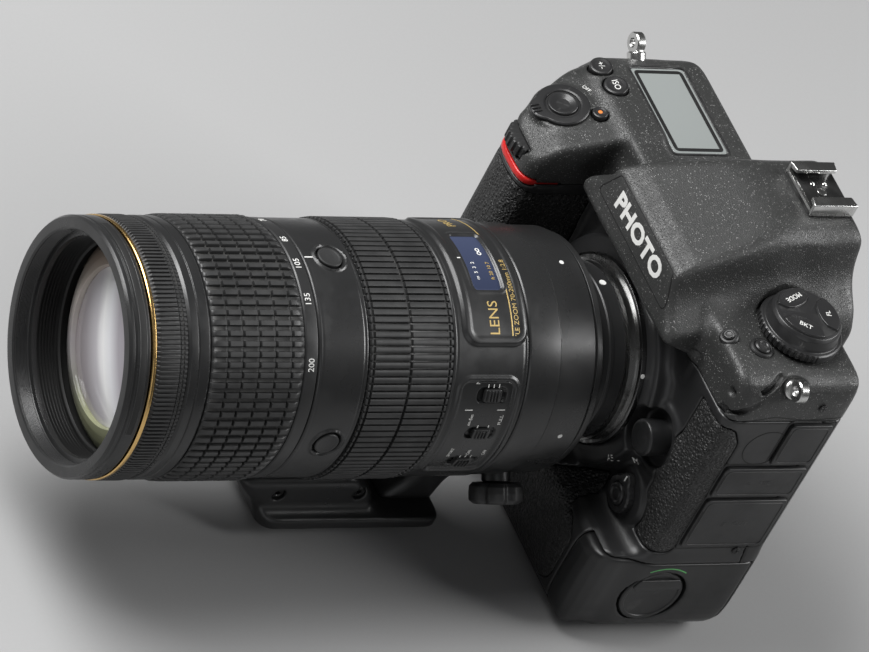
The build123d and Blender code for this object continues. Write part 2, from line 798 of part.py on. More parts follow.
# front of the lens
front_ring = turned(
    (filter_radius, lens_length - filter_depth),
    (filter_radius, lens_length - 0.6),
    (filter_radius + 0.8, lens_length),
    (42.6, lens_length),
    (43.4, lens_length - 1.2),
    (43.2, 194.8),
    (36.6, 194.8),
    (36.6, lens_length - filter_depth),
)
save("filter_ring", front_ring)
save("trim_ring", ring(43.7, 42.05, trim_station - 0.7, trim_station + 0.9))
save("front_grip_ring", ring(43.6, 42.05, front_grip_near, front_grip_far))


def lens_element(radius, near, thickness, bulge):
    """Glass with a domed front. bulge is the height of the dome."""
    dome_radius = (radius ** 2 + bulge ** 2) / (2 * bulge)
    disc = lens * Pos(0, 0, near) * Cylinder(radius, thickness + bulge, align=LOW)
    ball = lens * Pos(0, 0, near + thickness + bulge - dome_radius) * Sphere(dome_radius)
    return disc & ball


save("fixed_lenses", lens_element(36.4, 183.0, 3.0, 6.5), lens_element(18.0, 4.0, 3.0, 2.5))
save(
    "zoom_group",
    lens_element(30.0, 120.0, 4.0, 4.0),
    lens_element(27.0, 108.0, 4.0, 3.0),
    ring(34.0, 30.2, 106.0, 128.0),
)

# zoom ring, its rubber, and the focus ring
zoom_ring = turned(
    (ring_in, middle_far + fit),
    (barrel_radius + 0.1, middle_far + fit),
    (barrel_radius + 0.1, 137.4),
    (42.2, 137.4),
    (42.2, zoom_far - fit),
    (ring_in, zoom_far - fit),
)
save("zoom_ring", zoom_ring)
save("zoom_rubber", ring(44.25, 42.2, 137.5, zoom_far - fit))
focus_ring = turned(
    (ring_in, window_far + fit),
    (44.1, window_far + fit),
    (44.1, 110.0),
    (43.2, 110.4),
    (43.2, focus_far - fit),
    (ring_in, focus_far - fit),
)
save("focus_ring", focus_ring)

# tripod collar, foot and clamp knob
collar_radius = 43.0
collar = turned(
    (collar_seat + fit, collar_near),
    (41.4, collar_near),
    (42.2, collar_near + 1.2),
    (42.3, collar_step),
    (collar_radius, collar_step + 0.3),
    (collar_radius, collar_far),
    (collar_seat + fit, collar_far),
)
knob_angle, knob_station, knob_radius = 135.0, 36.5, 9.7
knob_low, knob_high = 2.9, 10.2
knob_place = radial(knob_angle, collar_radius, knob_station)
collar += cylinder_at(knob_place, 5.0, -2.2, knob_low - fit)
collar -= cylinder_at(knob_place, 2.5, -4, 8)
foot_half, foot_low, plate_top, foot_top = 19.5, 70.5, 65.5, 50.0
foot_near, foot_far = 38.0, 109.0
web_half, web_near, web_slant = 15.0, 63.0, 17.0
neck_half = 12.0
below = Plane(origin=(0, flange_y, axis_height), x_dir=(0, -1, 0), z_dir=(1, 0, 0))  # x ahead, y down


def under(corners, half):
    """Plate below the lens, drawn as (station, depth under the axis, radius), 2 * half wide."""
    shape = outline(corners, 0)
    return below * extrude(shape, half, both=True)


neck_near, neck_lean = 31.5, 7.0  # the neck leans back towards the flange going up
neck = under(
    [
        (neck_near, 39, 1), (neck_near, 48, 2), (foot_near, plate_top, 1),
        (web_near - 2, plate_top, 1), (web_near - 2 - neck_lean, 56, 8),
        (collar_far - 0.4, 46, 3), (collar_far - 0.4, 39, 1),
    ],
    neck_half,
)
neck -= ring(41.8, 0.01, 0, 80)
save("tripod_collar", collar + neck)

foot = block(-foot_half, foot_half, flange_y - foot_far, flange_y - foot_near,
             axis_height - foot_low, axis_height - plate_top)
foot = fillet(foot.edges().filter_by(Axis.Z), 5.0)
foot += under(
    [
        (web_near, plate_top + 1.5, 1), (foot_far - 1, plate_top + 1.5, 1),
        (foot_far - 1 + web_slant, foot_top, 4), (web_near + 6, foot_top, 4),
    ],
    web_half,
)
foot_socket_station = 84.0
foot_socket_depth = 9.0
foot -= Pos(0, flange_y - foot_socket_station, axis_height - foot_low) * Cylinder(
    socket_radius, foot_socket_depth, align=LOW
)
save("tripod_foot", foot)

knob = cylinder_at(knob_place, knob_radius, knob_low, knob_high)
for k in range(6):
    knob -= knob_place * Rot(0, 0, 60 * k) * Pos(knob_radius + 3.2, 0, 2) * Cylinder(4.4, 10, align=LOW)
knob += cylinder_at(knob_place, 2.4, 0.8, knob_low)  # short enough to stay clear of the barrel
save("collar_knob", knob)
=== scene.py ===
import math
import bpy
import bmesh
import numpy as np
import openvdb
from mathutils import Matrix, Vector


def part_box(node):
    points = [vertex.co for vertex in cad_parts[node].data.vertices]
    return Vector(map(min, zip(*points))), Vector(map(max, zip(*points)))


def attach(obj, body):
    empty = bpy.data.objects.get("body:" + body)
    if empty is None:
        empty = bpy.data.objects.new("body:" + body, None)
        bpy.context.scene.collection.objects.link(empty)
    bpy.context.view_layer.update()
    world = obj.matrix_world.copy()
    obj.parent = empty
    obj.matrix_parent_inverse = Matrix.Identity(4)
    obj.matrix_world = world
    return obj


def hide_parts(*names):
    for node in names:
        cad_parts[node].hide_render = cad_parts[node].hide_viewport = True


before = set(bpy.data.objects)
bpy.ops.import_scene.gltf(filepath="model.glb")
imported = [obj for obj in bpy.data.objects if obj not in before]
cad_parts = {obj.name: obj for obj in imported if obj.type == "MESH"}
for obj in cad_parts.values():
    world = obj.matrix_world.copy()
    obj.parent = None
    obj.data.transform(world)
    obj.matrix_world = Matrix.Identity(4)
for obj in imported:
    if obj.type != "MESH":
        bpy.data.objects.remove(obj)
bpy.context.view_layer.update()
mm = 0.001


def mmBox(node):
    low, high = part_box(node)
    return [c / mm for c in low], [c / mm for c in high]


# places that everything else hangs on, in millimetres, read from the frame
mountLow = mmBox("lens_mount_ring")[0]
rimLow, rimHigh = mmBox("filter_ring")
shellLow, shellHigh = mmBox("front_shell")
coverHigh = mmBox("top_cover")[1]
flangeY = mountLow[1]
axisZ = (rimLow[2] + rimHigh[2]) / 2
bodyLeft = shellLow[0]
bodyRight = shellHigh[0]
topZ = coverHigh[2]
print("frame read, flange at", round(flangeY, 2), "axis at", round(axisZ, 2))


# small mesh helpers
def cosSin(degrees):
    return math.cos(math.radians(degrees)), math.sin(math.radians(degrees))


def between(a0, a1, b0, b1):
    return [(a0, b0), (a1, b0), (a1, b1), (a0, b1)]


def oblong(a, b):
    return between(-a, a, -b, b)


# faces of a closed lathe grid, one column of points after another
def latheFaces(columns, rows):
    faces = []
    for k in range(columns):
        n = (k + 1) % columns
        for j in range(rows):
            m = (j + 1) % rows
            faces.append((k * rows + j, k * rows + m, n * rows + m, n * rows + j))
    return faces


def meshObject(name, points, faces, material=None, sharp=32.0):
    mesh = bpy.data.meshes.new(name)
    mesh.from_pydata([tuple(float(c) * mm for c in p) for p in points], [],
                     [tuple(int(i) for i in f) for f in faces])
    mesh.validate()
    tidy = bmesh.new()
    tidy.from_mesh(mesh)
    bmesh.ops.recalc_face_normals(tidy, faces=tidy.faces)
    tidy.to_mesh(mesh)
    tidy.free()
    mesh.shade_smooth()
    if sharp:
        mesh.set_sharp_from_angle(angle=math.radians(sharp))
    piece = bpy.data.objects.new(name, mesh)
    bpy.context.scene.collection.objects.link(piece)
    if material:
        mesh.materials.append(material)
    return piece


def settle(piece, body, slot, *nodes):
    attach(piece, body)
    if nodes:
        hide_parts(*nodes)
    return piece


def joined(name, pieces):
    mesh = bpy.data.meshes.new(name)
    whole = bmesh.new()
    mats = []
    for piece in pieces:
        part = bmesh.new()
        part.from_mesh(piece.data)
        part.transform(piece.matrix_world)
        for face in part.faces:
            m = piece.data.materials[face.material_index] if piece.data.materials else None
            if m not in mats:
                mats.append(m)
            face.material_index = mats.index(m)
        temp = bpy.data.meshes.new("temp")
        part.to_mesh(temp)
        whole.from_mesh(temp)
        bpy.data.meshes.remove(temp)
        part.free()
        bpy.data.objects.remove(piece)
    whole.to_mesh(mesh)
    whole.free()
    for m in mats:
        mesh.materials.append(m)
    result = bpy.data.objects.new(name, mesh)
    bpy.context.scene.collection.objects.link(result)
    return result


# rounds the corners of a flat outline; each point is (a, b) or (a, b, radius)
def softOutline(corners, radius=0.3, steps=4, closed=True):
    out = []
    count = len(corners)
    for k in range(count):
        p = corners[k]
        r = p[2] if len(p) > 2 else radius
        if not closed and k in (0, count - 1) or r <= 0:
            out.append((p[0], p[1]))
            continue
        here = np.array(p[:2], float)
        back = np.array(corners[k - 1][:2], float) - here
        ahead = np.array(corners[(k + 1) % count][:2], float) - here
        lb, la = np.linalg.norm(back), np.linalg.norm(ahead)
        if lb < 1e-9 or la < 1e-9:
            out.append((p[0], p[1]))
            continue
        back, ahead = back / lb, ahead / la
        turn = math.acos(max(-1, min(1, float(back @ ahead))))
        if turn > math.pi - 0.02 or turn < 0.02:
            out.append((p[0], p[1]))
            continue
        reach = min(r / math.tan(turn / 2), lb * 0.48, la * 0.48)
        a, b = here + back * reach, here + ahead * reach
        for s in range(steps + 1):
            t = s / steps
            q = (1 - t) ** 2 * a + 2 * t * (1 - t) * here + t ** 2 * b
            out.append((q[0], q[1]))
    return out


# lens space: radius, angle from the top towards +X, distance ahead of the flange
def lensPoint(radius, angle, station):
    return (radius * math.sin(angle), flangeY - station, axisZ + radius * math.cos(angle))


def turned(name, profile, material=None, radius=0.25, segments=288, sharp=35.0):
    ring = softOutline(profile, radius)
    rows = len(ring)
    points = []
    for k in range(segments):
        angle = 2 * math.pi * k / segments
        points += [lensPoint(r, angle, s) for r, s in ring]
    return meshObject(name, points, latheFaces(segments, rows), material, sharp)


# a closed ring whose outer skin carries ribs
# acrossRib is [(part of the pitch, height)], along is [(station, radius, rib height)]
def ribbedRing(name, ribs, acrossRib, along, innerRadius, material, sharp=40.0, wave=None):
    columns = []
    for k in range(ribs):
        for part, height in acrossRib:
            columns.append((2 * math.pi * (k + part) / ribs, height, k))
    rows = len(along) + 2
    points = []
    for angle, height, k in columns:
        first, last = along[0][0], along[-1][0]
        points.append(lensPoint(innerRadius, angle, first))
        for s, r, ribHeight in along:
            lift = ribHeight if wave is None else wave(k, s, ribHeight)
            points.append(lensPoint(r + height * lift, angle, s))
        points.append(lensPoint(innerRadius, angle, last))
    return meshObject(name, points, latheFaces(len(columns), rows), material, sharp)


# a small solid drawn flat and stood on the barrel: outline in (along the circumference, station) millimetres
def onBarrel(points, angleDeg, station, radius):
    out = []
    for a, b, h in points:
        out.append(lensPoint(radius + h, math.radians(angleDeg) + a / radius, station + b))
    return out


# general frames: a place is an origin and three axes
class Place:
    def __init__(self, origin, xAxis, zAxis):
        self.o = np.array(origin, float)
        self.z = np.array(zAxis, float) / np.linalg.norm(zAxis)
        x = np.array(xAxis, float)
        x = x - self.z * (x @ self.z)
        self.x = x / np.linalg.norm(x)
        self.y = np.cross(self.z, self.x)

    def at(self, a, b, c):
        return self.o + self.x * a + self.y * b + self.z * c


# a place on the barrel: x along the circumference, z outwards
def barrelPlace(degrees, radius, station):
    c, s = cosSin(degrees)
    return Place(lensPoint(radius, math.radians(degrees), station), (c, 0, -s), (s, 0, c))


# solid of revolution about z of a place; profile is (radius, height)
def turnedAt(name, place, profile, material=None, radius=0.2, segments=96, sharp=35.0, shape=None, steps=4):
    line = softOutline(profile, radius, steps, closed=False)
    points, faces = [], []
    rows = len(line)
    for k in range(segments):
        angle = 2 * math.pi * k / segments
        for r, h in line:
            rr = r * shape(angle, r, h) if shape else r
            points.append(place.at(rr * math.cos(angle), rr * math.sin(angle), h))
    for k in range(segments):
        n = (k + 1) % segments
        for j in range(rows - 1):
            faces.append((k * rows + j, n * rows + j, n * rows + j + 1, k * rows + j + 1))
    faces.append([k * rows for k in range(segments)][::-1])
    faces.append([k * rows + rows - 1 for k in range(segments)])
    return meshObject(name, points, faces, material, sharp)


# flat outline with rounded rim raised along z of a place
def raisedShape(name, place, outline, low, high, material=None, bevel=0.3, steps=3, sharp=35.0, corner=0.5):
    line = softOutline(outline, corner, 6)
    line = np.array(line)
    area = 0.5 * np.sum(line[:, 0] * np.roll(line[:, 1], -1) - np.roll(line[:, 0], -1) * line[:, 1])
    if area < 0:
        line = line[::-1]
    count = len(line)
    edge = np.roll(line, -1, 0) - line
    edge /= np.maximum(np.linalg.norm(edge, axis=1, keepdims=True), 1e-9)
    normal = np.stack([edge[:, 1], -edge[:, 0]], 1)
    normal = normal + np.roll(normal, 1, 0)
    normal /= np.maximum(np.linalg.norm(normal, axis=1, keepdims=True), 1e-9)
    rings = [(0.0, low)]
    for s in range(steps + 1):
        t = math.pi / 2 * s / steps
        rings.append((bevel * (1 - math.cos(t)), high - bevel + bevel * math.sin(t)))
    points, faces = [], []
    for inset, h in rings:
        ring = line - normal * inset
        points += [place.at(a, b, h) for a, b in ring]
    for j in range(len(rings) - 1):
        for k in range(count):
            n = (k + 1) % count
            faces.append((j * count + k, j * count + n, (j + 1) * count + n, (j + 1) * count + k))
    faces.append(list(range(count))[::-1])
    faces.append([(len(rings) - 1) * count + k for k in range(count)])
    return meshObject(name, points, faces, material, sharp)


# distance fields on a grid, for the cast and moulded shells
class Grid:
    def __init__(self, low, high, step):
        self.low = np.array(low, float)
        self.step = step
        n = [int(math.ceil((h - l) / step)) + 1 for l, h in zip(low, high)]
        self.x = (low[0] + step * np.arange(n[0], dtype=np.float32)).reshape(-1, 1, 1)
        self.y = (low[1] + step * np.arange(n[1], dtype=np.float32)).reshape(1, -1, 1)
        self.z = (low[2] + step * np.arange(n[2], dtype=np.float32)).reshape(1, 1, -1)


def softMax(a, b, k):
    if k <= 0:
        return np.maximum(a, b)
    h = np.maximum(k - np.abs(a - b), 0) / k
    return np.maximum(a, b) + h * h * k * 0.25


def softMin(a, b, k):
    return -softMax(-a, -b, k)


def polygonField(a, b, corners, steps=6):
    line = softOutline(corners, 0, steps)
    a, b = np.broadcast_arrays(a, b)
    best = np.full(a.shape, 1e9, np.float32)
    inside = np.zeros(a.shape, bool)
    n = len(line)
    for k in range(n):
        p, q = line[k], line[(k + 1) % n]
        ex, ey = q[0] - p[0], q[1] - p[1]
        length = ex * ex + ey * ey
        if length < 1e-12:
            continue
        wx, wy = a - p[0], b - p[1]
        t = np.clip((wx * ex + wy * ey) / length, 0, 1)
        dx, dy = wx - ex * t, wy - ey * t
        best = np.minimum(best, dx * dx + dy * dy)
        crosses = (p[1] > b) != (q[1] > b)
        if abs(ey) > 1e-12:
            inside ^= crosses & (a < ex * (b - p[1]) / ey + p[0])
    return np.where(inside, -1, 1).astype(np.float32) * np.sqrt(best).astype(np.float32)


def crossed(grid, front=None, side=None, plan=None, soft=3.0):
    field = None
    for corners, a, b in ((front, grid.x, grid.z), (side, grid.y, grid.z), (plan, grid.x, grid.y)):
        if corners:
            part = polygonField(a, b, corners)
            field = part if field is None else softMax(field, part, soft)
    return field


def barField(grid, place, radius, low, high, soft=0.5):
    px, py, pz = grid.x - place.o[0], grid.y - place.o[1], grid.z - place.o[2]
    h = px * place.z[0] + py * place.z[1] + pz * place.z[2]
    r2 = px * px + py * py + pz * pz - h * h
    return softMax(np.sqrt(np.maximum(r2, 0)) - radius, np.maximum(low - h, h - high), soft)


def boxField(grid, low, high, soft=0.5):
    dx = np.maximum(low[0] - grid.x, grid.x - high[0])
    dy = np.maximum(low[1] - grid.y, grid.y - high[1])
    dz = np.maximum(low[2] - grid.z, grid.z - high[2])
    return softMax(softMax(dx, dy, soft), dz, soft)


def shellMesh(name, grid, field, material, reduce=0.0):
    band = 3 * grid.step
    values = np.clip(field, -band, band).astype(np.float32)
    for axis in range(3):
        edge = [slice(None)] * 3
        for k in (0, -1):
            edge[axis] = k
            values[tuple(edge)] = np.maximum(values[tuple(edge)], 0.5 * grid.step)
    volume = openvdb.FloatGrid(band)
    volume.copyFromArray(values)
    points, triangles, quads = volume.convertToPolygons(0.0, reduce)
    points = np.asarray(points) * grid.step + grid.low
    # the direction of the steepest rise gives clean shading
    i = np.clip((points - grid.low) / grid.step, 1, np.array(values.shape) - 2.001)
    base = i.astype(int)
    f = i - base

    def sample(offset):
        total = 0
        for cx in (0, 1):
            for cy in (0, 1):
                for cz in (0, 1):
                    w = (f[:, 0] if cx else 1 - f[:, 0]) * (f[:, 1] if cy else 1 - f[:, 1]) * (f[:, 2]
                            if cz else 1 - f[:, 2])
                    j = np.clip(base + offset + [cx, cy, cz], 0, np.array(values.shape) - 1)
                    total = total + w * values[j[:, 0], j[:, 1], j[:, 2]]
        return total

    normal = np.stack([sample([1, 0, 0]) - sample([-1, 0, 0]), sample([0, 1, 0]) - sample([0, -1, 0]),
                       sample([0, 0, 1]) - sample([0, 0, -1])], 1)
    normal /= np.maximum(np.linalg.norm(normal, axis=1, keepdims=True), 1e-9)
    faces = [tuple(q) for q in quads.tolist()] + [tuple(t) for t in triangles.tolist()]
    mesh = bpy.data.meshes.new(name)
    mesh.from_pydata((points * mm).tolist(), [], faces)
    mesh.shade_smooth()
    mesh.normals_split_custom_set_from_vertices(normal.tolist())
    mesh.materials.append(material)
    piece = bpy.data.objects.new(name, mesh)
    bpy.context.scene.collection.objects.link(piece)
    return piece


# materials; the grain, wear and dust groups are shared, each material is built beside its own colours
def group(name, inputs, outputs):
    tree = bpy.data.node_groups.new(name, "ShaderNodeTree")
    for n, kind, value in inputs:
        s = tree.interface.new_socket(n, in_out="INPUT", socket_type=kind)
        if value is not None:
            s.default_value = value
    for n, kind in outputs:
        tree.interface.new_socket(n, in_out="OUTPUT", socket_type=kind)
    return tree, tree.nodes.new("NodeGroupInput"), tree.nodes.new("NodeGroupOutput")


def node(tree, kind, **values):
    n = tree.nodes.new(kind)
    for key, value in values.items():
        if key.startswith("in_"):
            n.inputs[int(key[3:])].default_value = value
        else:
            setattr(n, key, value)
    return n


def linked(tree, start, end):
    tree.links.new(start, end)


def mathNode(tree, op, a, b=None, c=None, clamp=False):
    n = tree.nodes.new("ShaderNodeMath")
    n.operation = op
    n.use_clamp = clamp
    for k, v in enumerate((a, b, c)):
        if v is None:
            continue
        if isinstance(v, (int, float)):
            n.inputs[k].default_value = v
        else:
            tree.links.new(v, n.inputs[k])
    return n.outputs[0]


def mixColor(tree, factor, a, b, mode="MIX"):
    n = tree.nodes.new("ShaderNodeMix")
    n.data_type = "RGBA"
    n.blend_type = mode
    for socket, v in ((n.inputs[0], factor), (n.inputs[6], a), (n.inputs[7], b)):
        if isinstance(v, (int, float)):
            socket.default_value = v
        elif isinstance(v, tuple):
            socket.default_value = v
        else:
            tree.links.new(v, socket)
    return n.outputs[2]


def ramp(tree, value, low, high, a=0.0, b=1.0):
    n = tree.nodes.new("ShaderNodeMapRange")
    n.interpolation_type = "SMOOTHSTEP"
    tree.links.new(value, n.inputs[0])
    for k, v in enumerate((low, high, a, b)):
        n.inputs[k + 1].default_value = v
    return n.outputs[0]


def noiseOf(tree, vector, scale, detail=3.0, rough=0.55):
    n = node(tree, "ShaderNodeTexNoise")
    n.inputs["Scale"].default_value = scale
    n.inputs["Detail"].default_value = detail
    n.inputs["Roughness"].default_value = rough
    tree.links.new(vector, n.inputs["Vector"])
    return n.outputs[0]


def cellsOf(tree, vector, scale, feature="F1"):
    n = node(tree, "ShaderNodeTexVoronoi", feature=feature)
    n.inputs["Scale"].default_value = scale
    tree.links.new(vector, n.inputs["Vector"])
    return n


# sprayed grit: fine stipple, sparse bright flecks
def makeGritGroup():
    t, i, o = group("grit", [("Vector", "NodeSocketVector", None), ("Flecks", "NodeSocketFloat", 0.5)],
                    [("Height", "NodeSocketFloat"), ("Fleck", "NodeSocketFloat"),
                     ("Cloud", "NodeSocketFloat")])
    fine = noiseOf(t, i.outputs[0], 2600, 2.0, 0.6)
    cells = cellsOf(t, i.outputs[0], 1900)
    bead = ramp(t, cells.outputs["Distance"], 0.05, 0.5, 1.0, 0.0)
    linked(t, mathNode(t, "ADD", mathNode(t, "MULTIPLY", fine, 0.5), mathNode(t, "MULTIPLY", bead, 0.5)),
           o.inputs[0])
    big = cellsOf(t, i.outputs[0], 1350)
    spot = ramp(t, big.outputs["Distance"], 0.12, 0.30, 1.0, 0.0)
    pick = ramp(t, noiseOf(t, i.outputs[0], 640, 1.0), 0.46, 0.60)
    linked(t, mathNode(t, "MULTIPLY", mathNode(t, "MULTIPLY", spot, pick), i.outputs[1]), o.inputs[1])
    linked(t, noiseOf(t, i.outputs[0], 28, 3.0), o.inputs[2])
    return t


# pressed leather: rounded cells with creases between them
def makeLeatherGroup():
    t, i, o = group("leatherGrain", [("Vector", "NodeSocketVector", None),
            ("Size", "NodeSocketFloat", 1.0)],
                    [("Height", "NodeSocketFloat"), ("Crease", "NodeSocketFloat")])
    warp = node(t, "ShaderNodeTexNoise")
    warp.inputs["Scale"].default_value = 420
    linked(t, i.outputs[0], warp.inputs["Vector"])
    shift = node(t, "ShaderNodeVectorMath", operation="MULTIPLY_ADD")
    linked(t, warp.outputs["Color"], shift.inputs[0])
    shift.inputs[1].default_value = (0.0009, 0.0009, 0.0009)
    linked(t, i.outputs[0], shift.inputs[2])
    scaled = node(t, "ShaderNodeVectorMath", operation="SCALE")
    linked(t, shift.outputs[0], scaled.inputs[0])
    linked(t, i.outputs[1], scaled.inputs["Scale"])
    cells = cellsOf(t, scaled.outputs[0], 800, "SMOOTH_F1")
    edges = cellsOf(t, scaled.outputs[0], 800, "DISTANCE_TO_EDGE")
    dome = ramp(t, cells.outputs["Distance"], 0.1, 0.75, 1.0, 0.0)
    gap = ramp(t, edges.outputs["Distance"], 0.0, 0.14)
    fine = noiseOf(t, i.outputs[0], 3400, 2.0)
    height = mathNode(t, "ADD", mathNode(t, "MULTIPLY", dome, gap), mathNode(t, "MULTIPLY", fine, 0.12))
    linked(t, height, o.inputs[0])
    linked(t, mathNode(t, "SUBTRACT", 1.0, gap), o.inputs[1])
    return t


# rubbed edges from the local curvature, dust in the hollows
def makeWearGroup():
    t, i, o = group("wear", [("Vector", "NodeSocketVector", None), ("Spread", "NodeSocketFloat", 0.5)],
                    [("Edge", "NodeSocketFloat"), ("Hollow", "NodeSocketFloat"),
                     ("Smudge", "NodeSocketFloat")])
    geometry = node(t, "ShaderNodeNewGeometry")
    broken = noiseOf(t, i.outputs[0], 160, 4.0)
    point = geometry.outputs["Pointiness"]
    rise = ramp(t, point, 0.52, 0.60)
    linked(t, mathNode(t, "MULTIPLY", mathNode(t, "MULTIPLY", rise, ramp(t, broken, 0.35, 0.65)),
                       i.outputs[1]), o.inputs[0])
    linked(t, mathNode(t, "MULTIPLY", ramp(t, point, 0.48, 0.42), ramp(t, broken, 0.3, 0.7)), o.inputs[1])
    linked(t, ramp(t, noiseOf(t, i.outputs[0], 42, 5.0, 0.65), 0.35, 0.7), o.inputs[2])
    return t


# scratches and lathe lines that run round the optical axis
def makeTurnedGroup():
    t, i, o = group("turnedLines", [("Vector", "NodeSocketVector", None)],
                    [("Height", "NodeSocketFloat"), ("Tone", "NodeSocketFloat")])
    parts = node(t, "ShaderNodeSeparateXYZ")
    linked(t, i.outputs[0], parts.inputs[0])
    across = node(t, "ShaderNodeCombineXYZ")
    linked(t, mathNode(t, "MULTIPLY", parts.outputs[1], 14.0), across.inputs[1])
    linked(t, mathNode(t, "MULTIPLY", parts.outputs[0], 0.35), across.inputs[0])
    linked(t, mathNode(t, "MULTIPLY", parts.outputs[2], 0.35), across.inputs[2])
    lines = noiseOf(t, across.outputs[0], 260, 3.0, 0.7)
    linked(t, lines, o.inputs[0])
    linked(t, ramp(t, lines, 0.3, 0.7), o.inputs[1])
    return t


gritGroup = makeGritGroup()
leatherGroup = makeLeatherGroup()
wearGroup = makeWearGroup()
turnedGroup = makeTurnedGroup()


def newMaterial(name):
    m = bpy.data.materials.new(name)
    m.use_nodes = True
    t = m.node_tree
    t.nodes.clear()
    shader = t.nodes.new("ShaderNodeBsdfPrincipled")
    out = t.nodes.new("ShaderNodeOutputMaterial")
    t.links.new(shader.outputs[0], out.inputs[0])
    coord = t.nodes.new("ShaderNodeTexCoord")
    return m, t, shader, coord.outputs["Object"]


def useGroup(t, tree, vector, **values):
    placed = t.nodes.new("ShaderNodeGroup")
    placed.node_tree = tree
    t.links.new(vector, placed.inputs["Vector"])
    for key, value in values.items():
        placed.inputs[key].default_value = value
    return placed


def bumpInto(t, shader, height, strength, distance):
    b = t.nodes.new("ShaderNodeBump")
    b.inputs["Strength"].default_value = strength
    b.inputs["Distance"].default_value = distance
    t.links.new(height, b.inputs["Height"])
    t.links.new(b.outputs[0], shader.inputs["Normal"])
    return b


# style: grit, leather, plain, turned or metal decides which relief is used
def makeMaterial(name, color, rough, style="plain", metal=0.0, relief=0.4, depth=0.00008, edge=0.25,
                 edgeColor=(0.22, 0.22, 0.215, 1), flecks=0.0, fleckColor=(0.45, 0.45, 0.44, 1), vary=0.25,
                 dust=0.12, size=1.0, coat=0.0, ior=1.5):
    m, t, shader, place = newMaterial(name)
    wear = useGroup(t, wearGroup, place, Spread=edge)
    base = color + (1.0,)
    darker = tuple(c * (1 - vary) for c in color) + (1.0,)
    tone = mixColor(t, wear.outputs["Smudge"], base, darker)
    height = None
    roughMix = wear.outputs["Smudge"]
    if style == "grit":
        grit = useGroup(t, gritGroup, place, Flecks=flecks)
        tone = mixColor(t, mathNode(t, "MULTIPLY", grit.outputs["Cloud"], 0.4), tone,
                        tuple(c * 1.5 for c in color) + (1.0,))
        tone = mixColor(t, grit.outputs["Fleck"], tone, fleckColor)
        height = grit.outputs["Height"]
    elif style == "leather":
        grain = useGroup(t, leatherGroup, place, Size=size)
        tone = mixColor(t, mathNode(t, "MULTIPLY", grain.outputs["Crease"], 0.6), tone,
                        tuple(c * 0.4 for c in color) + (1.0,))
        height = grain.outputs["Height"]
    elif style in ("turned", "metal"):
        lines = useGroup(t, turnedGroup, place)
        tone = mixColor(t, mathNode(t, "MULTIPLY", lines.outputs["Tone"], 0.25), tone,
                        tuple(c * 1.35 for c in color) + (1.0,))
        height = lines.outputs["Height"]
    else:
        height = noiseOf(t, place, 1800, 3.0, 0.6)
    tone = mixColor(t, wear.outputs["Edge"], tone, edgeColor)
    tone = mixColor(t, mathNode(t, "MULTIPLY", wear.outputs["Hollow"], dust), tone, (0.16, 0.155, 0.145, 1))
    linked(t, tone, shader.inputs["Base Color"])
    linked(t, ramp(t, roughMix, 0.0, 1.0, rough - 0.06, min(1.0, rough + 0.08)), shader.inputs["Roughness"])
    shader.inputs["Metallic"].default_value = metal
    shader.inputs["IOR"].default_value = ior
    if coat:
        shader.inputs["Coat Weight"].default_value = coat
        shader.inputs["Coat Roughness"].default_value = 0.12
    bumpInto(t, shader, height, relief, depth)
    return m


paint = makeMaterial("speckledPaint", (0.027, 0.0275, 0.027), 0.44, "grit", relief=0.8, depth=0.0002,
                     flecks=0.6, edge=0.10)
# plastics of the casing below the top cover, set darker than the top cover paint: that extra darkness is
# painted shade on the lower body
smoothPlastic = makeMaterial("mattePlastic", (0.012, 0.0122, 0.0126), 0.42, "plain", relief=0.25,
                             depth=0.00006, edge=0.10)
sidePlastic = makeMaterial("sidePlastic", (0.017, 0.0172, 0.0178), 0.42, "plain", relief=0.3,
                           depth=0.00006, edge=0.12)
leather = makeMaterial("leatherRubber", (0.019, 0.019, 0.019), 0.5, "leather", relief=1.0, depth=0.00055,
                       edge=0.03, dust=0.3, size=1.0)
dialPlastic = makeMaterial("dialPlastic", (0.019, 0.019, 0.0195), 0.34, "plain", relief=0.2, depth=0.00005,
                           edge=0.12)
darkPlastic = makeMaterial("darkPlastic", (0.010, 0.010, 0.0105), 0.45, "plain", relief=0.2, depth=0.00005,
                           edge=0.06)
lensSatin = makeMaterial("lensSatin", (0.017, 0.0172, 0.0175), 0.33, "turned", relief=0.06, depth=0.00003,
                         edge=0.05, vary=0.15, dust=0.03)
lensRing = makeMaterial("lensRing", (0.020, 0.0202, 0.0205), 0.36, "turned", relief=0.08, depth=0.00003,
                        edge=0.06, vary=0.15, dust=0.03)
ribRubber = makeMaterial("ribRubber", (0.020, 0.0202, 0.0205), 0.50, "plain", relief=0.35, depth=0.00006,
                         edge=0.12, dust=0.35,
                         edgeColor=(0.10, 0.10, 0.10, 1))
innerBlack = makeMaterial("innerBlack", (0.006, 0.006, 0.006), 0.55, "turned", relief=0.3, depth=0.00005,
                          edge=0.0, dust=0.03)
steel = makeMaterial("brushedSteel", (0.62, 0.62, 0.61), 0.24, "metal", metal=1.0, relief=0.15,
                     depth=0.00003, edge=0.2,
                     edgeColor=(0.8, 0.8, 0.79, 1))
blackSteel = makeMaterial("blackSteel", (0.03, 0.03, 0.03), 0.3, "metal", metal=0.6, relief=0.15,
                          depth=0.00003, edge=0.5,
                          edgeColor=(0.30, 0.30, 0.30, 1))
# mount ring metal: its light rubbed edges paint the thin silver arcs of light along the ring, a painted
# highlight on top of edge wear
darkRing = makeMaterial("darkRing", (0.16, 0.16, 0.16), 0.26, "metal", metal=1.0, relief=0.15,
                        depth=0.00003, edge=0.35,
                        edgeColor=(0.7, 0.7, 0.69, 1))
goldRing = makeMaterial("goldRing", (0.75, 0.50, 0.20), 0.28, "metal", metal=1.0, relief=0.1,
                        depth=0.00002, edge=0.1,
                        edgeColor=(0.9, 0.7, 0.4, 1))
